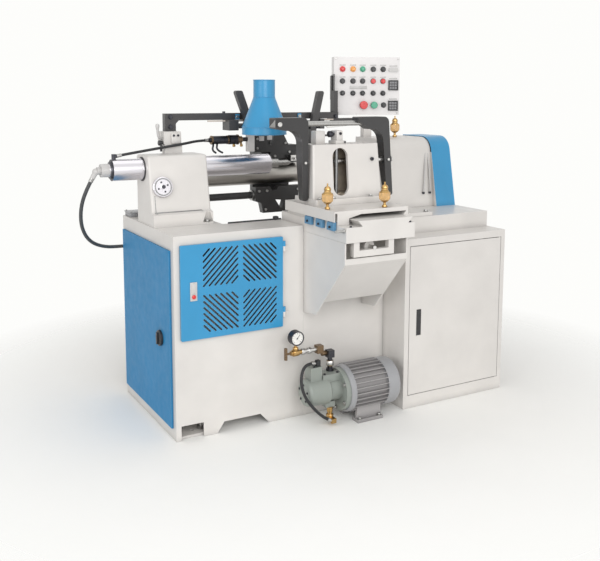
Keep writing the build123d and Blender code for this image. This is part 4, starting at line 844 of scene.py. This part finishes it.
cap = aimed((CAP_BACK, *AXIS), LEFTWARDS), 0.034, 0.078, CAP_THICK
piece_of("bearing_cap", white_paint, ring_on, [cap])
screws = around(CAP_BACK - CAP_THICK, AXIS, 0.066, 6, 30)
repeated("bearing_cap_screws", cap_screw_on, screws, LEFTWARDS, 0.005, dark_steel)
left_tube = [(0.648, -0.048, 1.136), (0.646, -0.062, 1.134), (0.634, -0.082, 1.04),
             (0.618, -0.098, 0.94), (0.617, -0.094, 0.918)]
right_tube = [(0.66, -0.048, 1.135), (0.66, -0.062, 1.132), (0.659, -0.082, 1.04),
              (0.657, -0.098, 0.94), (0.657, -0.094, 0.918)]
tubes = (left_tube, right_tube)
piece_of("headstock_oil_tubes", plate_grey, pipe_on, [(route, 0.0035) for route in tubes])
ends = [(aimed((route[-1][0], -0.08, route[-1][2]), FRONT), 0.006, 0.022, (0.002, 0.002))
        for route in tubes]
piece_of("headstock_tube_ends", dark_steel, pin_on, ends)
outline = [(GUARD_SIDE, -0.1265, 0.8505), (GUARD_SIDE, -0.0753, 1.12), (GUARD_SIDE, -0.058, 1.12),
           (GUARD_SIDE, -0.08, 0.8505)]
piece_of("guard_backplate", white_paint, plate_on, [(outline, (PLATE_THICK, 0, 0))])
feet = [(x, -0.345, 0.868) for x in (0.262, 0.44)]
repeated("headstock_foot_bolts", bolt_on, feet, UP, 0.0065, steel)

# Copying carriage and tool slide: bolts, rod wiper, covers and cylinder rings

SHOE_FACE, SLIDE_FACE = 0.17, 0.172
GUIDE_AXIS = (0.215, 0.92)

shoe = on_face(SHOE_FACE, ((-0.172, 0.943), (-0.13, 0.943), (0.04, 0.943), (0.04, 0.893),
                           (-0.138, 0.852), (0.012, 0.852)))
repeated("carriage_bolts", cap_screw_on, shoe, FRONT, 0.0065, steel, "carriage_body")
wiper = aimed((-0.1895, *GUIDE_AXIS), LEFTWARDS), 0.0176, 0.026, 0.006
piece_of("carriage_wiper", steel, ring_on, [wiper], "carriage_body")
left_cover = (-0.17, 0.1695, 1.185), (-0.143, 0.174, 1.208), 0.0012
right_cover = (-0.127, 0.1695, 1.189), (-0.1, 0.19, 1.209), 0.0012
piece_of("valve_block_covers", plate_grey, block_on, (left_cover, right_cover), "tool_slide_body")
slide = on_face(SLIDE_FACE, ((-0.006, 1.128), (-0.028, 1.172), (-0.085, 1.11), (-0.18, 1.15),
                             (-0.18, 1.195)))
repeated("tool_slide_bolts", cap_screw_on, slide, FRONT, 0.006, steel, "tool_slide_body")
rings = [(aimed((-0.062, y, 1.188), BEHIND), 0.0265, 0.03, 0.008) for y in (0.206, 0.308)]
piece_of("tool_cylinder_rings", dark_steel, ring_on, rings, "tool_slide_body")

# Template rail, solenoid valve and template

RAIL_FACE, RAIL_MIDDLE, RAIL_TOP = 0.125, 0.14, 1.321
LEVER_AXIS = (0.1, 1.262)
VALVE_AXIS = (0.14, 1.197)
DRAIN_ALONG = (0, -0.35, -0.94)
TEMPLATE_FACE, TEMPLATE_TOP, TEMPLATE_THICK = 0.128, 1.2835, 0.008

# Bolts along the rail, its light strips and the collars of the levers
bolts = on_face(RAIL_FACE, ((-0.631, 1.262), (-0.631, 1.306), (0.42, 1.279), (0.23, 1.3)))
repeated("rail_bolts", bolt_on, bolts, FRONT, 0.006, dark_steel)
tops = [(x, RAIL_MIDDLE, RAIL_TOP) for x in (-0.366, 0.128)]
repeated("rail_top_bolts", cap_screw_on, tops, UP, 0.007, dark_steel)
strips = [((left, 0.1185, 1.2815), (right, 0.1255, 1.2885), 0.001)
          for left, right in ((-0.455, -0.3675), (0.145, 0.215))]
piece_of("template_strip", strap_cream, block_on, strips)
width = 0.01
collars = [(aimed((x - width / 2, *LEVER_AXIS), RIGHTWARDS), 0.0118, 0.021, width)
           for x in (-0.276, -0.232, 0.06, 0.102)]
piece_of("lever_collars", dark_steel, ring_on, collars, "lever_body")

# Steel pipes, bronze rings and drains of the solenoid valve
left_pipe = [(-0.424, 0.132, 1.182), (-0.432, 0.112, 1.172), (-0.44, 0.104, 1.158),
             (-0.432, 0.106, 1.146), (-0.42, 0.11, 1.14)]
right_pipe = [(-0.404, 0.132, 1.182), (-0.414, 0.112, 1.17), (-0.418, 0.106, 1.16),
              (-0.402, 0.108, 1.146), (-0.386, 0.112, 1.14)]
piece_of("valve_pipes", dark_steel, pipe_on, [(route, 0.0045) for route in (left_pipe, right_pipe)])
unions = bmesh.new()
for x, radius in ((-0.432, 0.0205), (-0.353, 0.0205), (-0.302, 0.024)):
    ring_on(unions, aimed((x, *VALVE_AXIS), RIGHTWARDS), 0.01, radius, 0.007)
hexagon_on(unions, aimed((-0.291, *VALVE_AXIS), RIGHTWARDS), 0.0165, 0.016)
piece("valve_rings", unions, bronze)
profile = [(0, 0), (0, 0.005), (0.008, 0.005), (0.009, 0.007), (0.017, 0.007), (0.018, 0.005), (0.018, 0)]
drains = [(aimed((x, VALVE_AXIS[0], 1.181), DRAIN_ALONG), profile, 16) for x in (-0.318, -0.28)]
piece_of("valve_drains", brass, turn_on, drains)

# Flat template under the right half of the rail, with its screws
outline = on_face(TEMPLATE_FACE, (
    (0.165, TEMPLATE_TOP), (0.165, 1.262), (0.189, 1.242), (0.245, 1.247), (0.3, 1.2515),
    (0.389, 1.259), (0.398, 1.266), (0.398, TEMPLATE_TOP)))
shape = bmesh.new()
plate_on(shape, outline, (0, TEMPLATE_THICK, 0))
round_edges(shape, 0.001, 1)
piece("copy_template", shape, bright_steel)
screws = on_face(TEMPLATE_FACE, [(x, 1.2745) for x in (0.182, 0.28, 0.38)])
repeated("copy_template_screws", cap_screw_on, screws, FRONT, 0.004, dark_steel)

# Dust hood: rolled beads and strap bolts

STRAP_FACE = 0.119
BEAD = ((-0.0022, -0.001), (-0.0014, 0.0013), (0, 0.0018), (0.0014, 0.0013), (0.0022, -0.001),
        (-0.0022, -0.001))

beads = bmesh.new()
for height, radius in ((1.2325, HOOD_SKIRT), (1.264, HOOD_SKIRT), (1.395, HOOD_NECK), (1.4695, HOOD_NECK)):
    profile = [(up, radius + out) for up, out in BEAD]
    turn_on(beads, Matrix.Translation((*HOOD_AXIS[:2], height)), profile, 64)
piece("hood_beads", beads, blue_paint)
bolts = on_face(STRAP_FACE, ((-0.306, 1.303), (0.023, 1.303)))
repeated("hood_strap_bolts", bolt_on, bolts, FRONT, 0.0045, steel)

# Control panel, with screws in its corners

PANEL_LEFT, PANEL_OUT = PANEL.to_3x3() @ Vector(LEFTWARDS), PANEL.to_3x3() @ Vector(UP)
SUNK = -0.001
SCREW_INSET = 0.01
FRAME_HALF = 0.002
KEY_SIZE, KEY_PITCH, KEY_INSET = (0.011, 0.01), (0.013, 0.0135), (0.019, 0.004)
STRIP_UP = 0.006

width, height = PANEL_SIZE
screws = [PANEL @ Vector((u, v, 0)) for u in (SCREW_INSET, width - SCREW_INSET)
          for v in (SCREW_INSET, height - SCREW_INSET)]
repeated("panel_screws", cap_screw_on, screws, PANEL_OUT, 0.0035, steel)

# Frames round the two lower displays, and the nine keys in each
frames, keys = [], []
for v, half in DISPLAYS[1:]:
    for du, dv in ((0, half), (0, -half), (DISPLAY_HALF, 0), (-DISPLAY_HALF, 0)):
        long_u, long_v = (DISPLAY_HALF, 0) if dv else (0, half)
        middle = Vector((DISPLAY_COLUMN + du, v + dv, 0))
        reach = Vector((long_u + FRAME_HALF, long_v + FRAME_HALF, 0))
        frames.append((middle - reach + Vector((0, 0, SUNK)),
                       middle + reach + Vector((0, 0, BEZEL + 0.0025)), 0.0008, PANEL))
    for i in range(9):
        left = DISPLAY_COLUMN - KEY_INSET[0] + i % 3 * KEY_PITCH[0]
        low = v - half + KEY_INSET[1] + i // 3 * KEY_PITCH[1]
        keys.append(((left, low, BEZEL + SUNK),
                     (left + KEY_SIZE[0], low + KEY_SIZE[1], BEZEL + 0.0012), 0.0006, PANEL))
piece_of("display_frames", black_plastic, block_on, frames)
piece_of("display_keys", meter_grey, block_on, keys)

# Bare strips over the switches and displays, and the wide one in the middle
places = [(u, v + 0.017, 0.015) for v in ROWS[:2] for u in COLUMNS]
places += [(DISPLAY_COLUMN, v + half + 0.008, 0.02) for v, half in DISPLAYS]
strips = [((u - half, v, SUNK), (u + half, v + STRIP_UP, 0.0008), 0.0004, PANEL) for u, v, half in places]
strips.append(((0.08, 0.129, SUNK), (0.168, 0.145, 0.001), 0.0004, PANEL))
piece_of("panel_label_strips", plate_grey, block_on, strips)

# Rims round the pilot lamps and the switches
for u, slot in zip(COLUMNS, ("red_plastic", "amber_plastic", "green_plastic")):
    rim = shifted(PANEL, u, ROWS[0], SUNK), 0.0085, 0.0142, 0.0055
    piece_of(f"{slot}_lamp_rim", FINISH[slot], ring_on, [rim])
switches = [(u, ROWS[0]) for u in COLUMNS[3:]] + [(u, ROWS[1]) for u in COLUMNS]
switches.append((COLUMNS[4] + LOWER_SHIFT, ROWS[3]))
rims = [(shifted(PANEL, u, v, SUNK), 0.0105, 0.0138, 0.0045) for u, v in switches]
piece_of("switch_rims", black_plastic, ring_on, rims)

# Head of the panel's post, with the bolts beside it
bolts = [PANEL @ Vector((-0.006, v, -0.02)) for v in (0.105, 0.185)]
repeated("panel_plate_bolts", bolt_on, bolts, PANEL_LEFT, 0.005, dark_steel)
head = (-0.015, 0.075, -0.034), (-0.0045, 0.196, -0.006), 0.004, PANEL
piece_of("panel_post_head", rail_black, block_on, [head])

# Pump set

PUMP_AXIS, COVER_AXIS = (-0.445, 0.138), (-0.445, 0.148)
FLANGE_FACE, COVER_FACE, COWL_FACE = -0.105, -0.266, 0.1715
TEE = (-0.29, -0.415, 0.322)
FERRULE = ((-0.002, -0.001), (-0.002, 0.0022), (0.008, 0.0022), (0.009, 0.001), (0.011, 0.001),
           (0.012, 0.0022), (0.018, 0.0022), (0.019, 0.0005), (0.019, -0.001), (-0.002, -0.001))

# Flange and cover bolts, block screws, foot bolts and the fan grille
flange = around(FLANGE_FACE, PUMP_AXIS, 0.08, 6, 30)
repeated("pump_flange_bolts", bolt_on, flange, LEFTWARDS, 0.0055, steel)
cover = around(COVER_FACE, COVER_AXIS, 0.036, 5, 18)
repeated("pump_cover_screws", cap_screw_on, cover, LEFTWARDS, 0.005, dark_steel)
top = [(-0.226, -0.463, 0.26), (-0.238, -0.43, 0.26), (-0.178, -0.469, 0.222), (-0.178, -0.425, 0.222),
       (-0.115, -0.469, 0.222)]
repeated("pump_block_screws", cap_screw_on, top, UP, 0.005, dark_steel)
feet = [(x, PUMP_AXIS[0] + side * 0.075, 0.014) for x in (-0.03, 0.07) for side in (-1, 1)]
repeated("motor_foot_bolts", bolt_on, feet, UP, 0.006, steel)
centre = aimed((COWL_FACE, *PUMP_AXIS), RIGHTWARDS)
grille = [(centre, radius, radius + 0.006, 0.003) for radius in (0.022, 0.036, 0.05, 0.064)]
piece_of("fan_grille", black_plastic, ring_on, grille)

# Ticks, needle and hub of the pressure gauge, and the rims of its case
face = aimed((GAUGE[0], GAUGE[1] + 0.0002, GAUGE[2]), FRONT)
marks = bmesh.new()
tick_end = 0.0245
for i in range(11):
    spin = face @ Matrix.Rotation(math.radians(-135 + 27 * i), 4, "Z")
    tick = 0.006 if i % 5 == 0 else 0.004
    block_on(marks, (-0.0007, tick_end - tick, 0), (0.0007, tick_end, 0.0005), 0.0001, spin)
needle = face @ Matrix.Rotation(math.radians(-38), 4, "Z")
block_on(marks, (-0.0009, -0.007, 0.0004), (0.0009, 0.0195, 0.0011), 0.0003, needle)
pin_on(marks, face, 0.003, 0.0015, (0.0002, 0.001))
piece("gauge_marks", marks, black_plastic)
front_rim = aimed((GAUGE[0], -0.4335, GAUGE[2]), BEHIND), 0.0268, 0.0316, 0.006
rear_rim = aimed((GAUGE[0], -0.406, GAUGE[2]), BEHIND), 0.0282, 0.0318, 0.004
piece_of("gauge_rim", dark_steel, ring_on, (front_rim, rear_rim))

# Hexagon nuts of the fittings between gauge, pump and hoses
x, y, z = TEE
brass_nuts = [(aimed((x - 0.013, y, z), RIGHTWARDS), 0.0165, 0.026),
              (aimed((x, y, z + 0.01), UP), 0.0125, 0.014),
              (aimed((-0.152, -0.47, 0.03), UP), 0.0165, 0.015)]
piece_of("brass_nuts", brass, hexagon_on, brass_nuts)
union_nuts = [(aimed((x + 0.027, y, z), RIGHTWARDS), 0.0152, 0.016),
              (aimed((x + 0.057, y, z), RIGHTWARDS), 0.0152, 0.016),
              (aimed((-0.129, -0.43, 0.247), UP), 0.0178, 0.02)]
piece_of("union_nuts", bright_steel, hexagon_on, union_nuts)


def hose_ferrules(name, route, diameter):
    """Crimped sleeves where a hose meets its fittings."""
    profile = [(along, diameter / 2 + out) for along, out in FERRULE]
    ends = [(aimed(start, Vector(towards) - Vector(start)), profile, 24)
            for start, towards in ((route[0], route[1]), (route[-1], route[-2]))]
    piece_of(name, steel, turn_on, ends)


hose_ferrules("quill_hose_ferrules", QUILL_ROUTE, QUILL_HOSE)
hose_ferrules("valve_hose_ferrules", VALVE_ROUTE, VALVE_HOSE)
hose_ferrules("pump_hose_ferrules", PUMP_ROUTE, PUMP_HOSE)

# Stage: pale floor that fades into the pale backdrop, and soft studio light

PAPER = (0.985, 0.985, 0.965)
FILL_LIGHT = (0.53, 0.52, 0.51)
FLOOR_SIZE, FLOOR_DROP = 16, 0.0005
FADE = (0.9, 2.0)
LIGHTS = {"key_light": ((-1.2, -4.0, 2.2), (0, 0, 0.7), 2.4, 80),
          "left_light": ((-3.8, -1.6, 1.8), (0, 0, 0.7), 2.2, 30),
          "right_light": ((2.4, -3.2, 0.8), (0, 0, 0.5), 1.6, 5),
          "top_light": ((0.2, 0.4, 4.0), (0, 0, 0.8), 2.6, 10)}


def pale_floor():
    """A pale floor that keeps the shadow near the machine and fades into the backdrop."""
    material, tree, surface = shader("pale_floor", 0.9)
    feed(tree, surface, "Base Color", mottled(tree, 3, 2, PAPER, shaded(PAPER, 0.98)))
    place = tree.nodes.new("ShaderNodeTexCoord")
    distance = tree.nodes.new("ShaderNodeVectorMath")
    distance.operation = "LENGTH"
    clear = tree.nodes.new("ShaderNodeBsdfTransparent")
    blend = tree.nodes.new("ShaderNodeMixShader")
    tree.links.new(place.outputs["Object"], distance.inputs[0])
    tree.links.new(ranged(tree, distance.outputs["Value"], FADE), blend.inputs["Fac"])
    tree.links.new(surface.outputs["BSDF"], blend.inputs[1])
    tree.links.new(clear.outputs["BSDF"], blend.inputs[2])
    tree.links.new(blend.outputs["Shader"], tree.nodes["Material Output"].inputs["Surface"])
    return material


floor_shape = bmesh.new()
bmesh.ops.create_grid(floor_shape, x_segments=1, y_segments=1, size=FLOOR_SIZE / 2)
floor_mesh = bpy.data.meshes.new("floor")
floor_shape.to_mesh(floor_mesh)
floor_shape.free()
floor_mesh.transform(Matrix.Translation((0, 0, -FLOOR_DROP)))
floor_mesh.materials.append(pale_floor())
floor = bpy.data.objects.new("floor", floor_mesh)
SCENE.collection.objects.link(floor)


def backdrop(seen, light):
    """World light: a pale backdrop for camera, mirror and glass rays, a dimmer fill for the rest."""
    world = bpy.data.worlds.new("backdrop")
    SCENE.world = world
    world.use_nodes = True
    tree = world.node_tree
    plain = tree.nodes["Background"]
    plain.inputs["Color"].default_value = (*light, 1)
    paper = tree.nodes.new("ShaderNodeBackground")
    paper.inputs["Color"].default_value = (*seen, 1)
    path = tree.nodes.new("ShaderNodeLightPath")
    blend = tree.nodes.new("ShaderNodeMixShader")
    chosen = path.outputs["Is Camera Ray"]
    for ray in ("Is Glossy Ray", "Is Transmission Ray"):
        either = tree.nodes.new("ShaderNodeMath")
        either.operation = "MAXIMUM"
        tree.links.new(chosen, either.inputs[0])
        tree.links.new(path.outputs[ray], either.inputs[1])
        chosen = either.outputs["Value"]
    tree.links.new(chosen, blend.inputs["Fac"])
    tree.links.new(plain.outputs["Background"], blend.inputs[1])
    tree.links.new(paper.outputs["Background"], blend.inputs[2])
    tree.links.new(blend.outputs["Shader"], tree.nodes["World Output"].inputs["Surface"])


def softbox(name, place, aim, size, power):
    """A square studio light aimed at a point."""
    data = bpy.data.lights.new(name, "AREA")
    data.energy = power
    data.size = size
    lamp = bpy.data.objects.new(name, data)
    lamp.location = place
    lamp.rotation_euler = (Vector(aim) - Vector(place)).to_track_quat("-Z", "Y").to_euler()
    SCENE.collection.objects.link(lamp)


backdrop(PAPER, FILL_LIGHT)
for name, values in LIGHTS.items():
    softbox(name, *values)
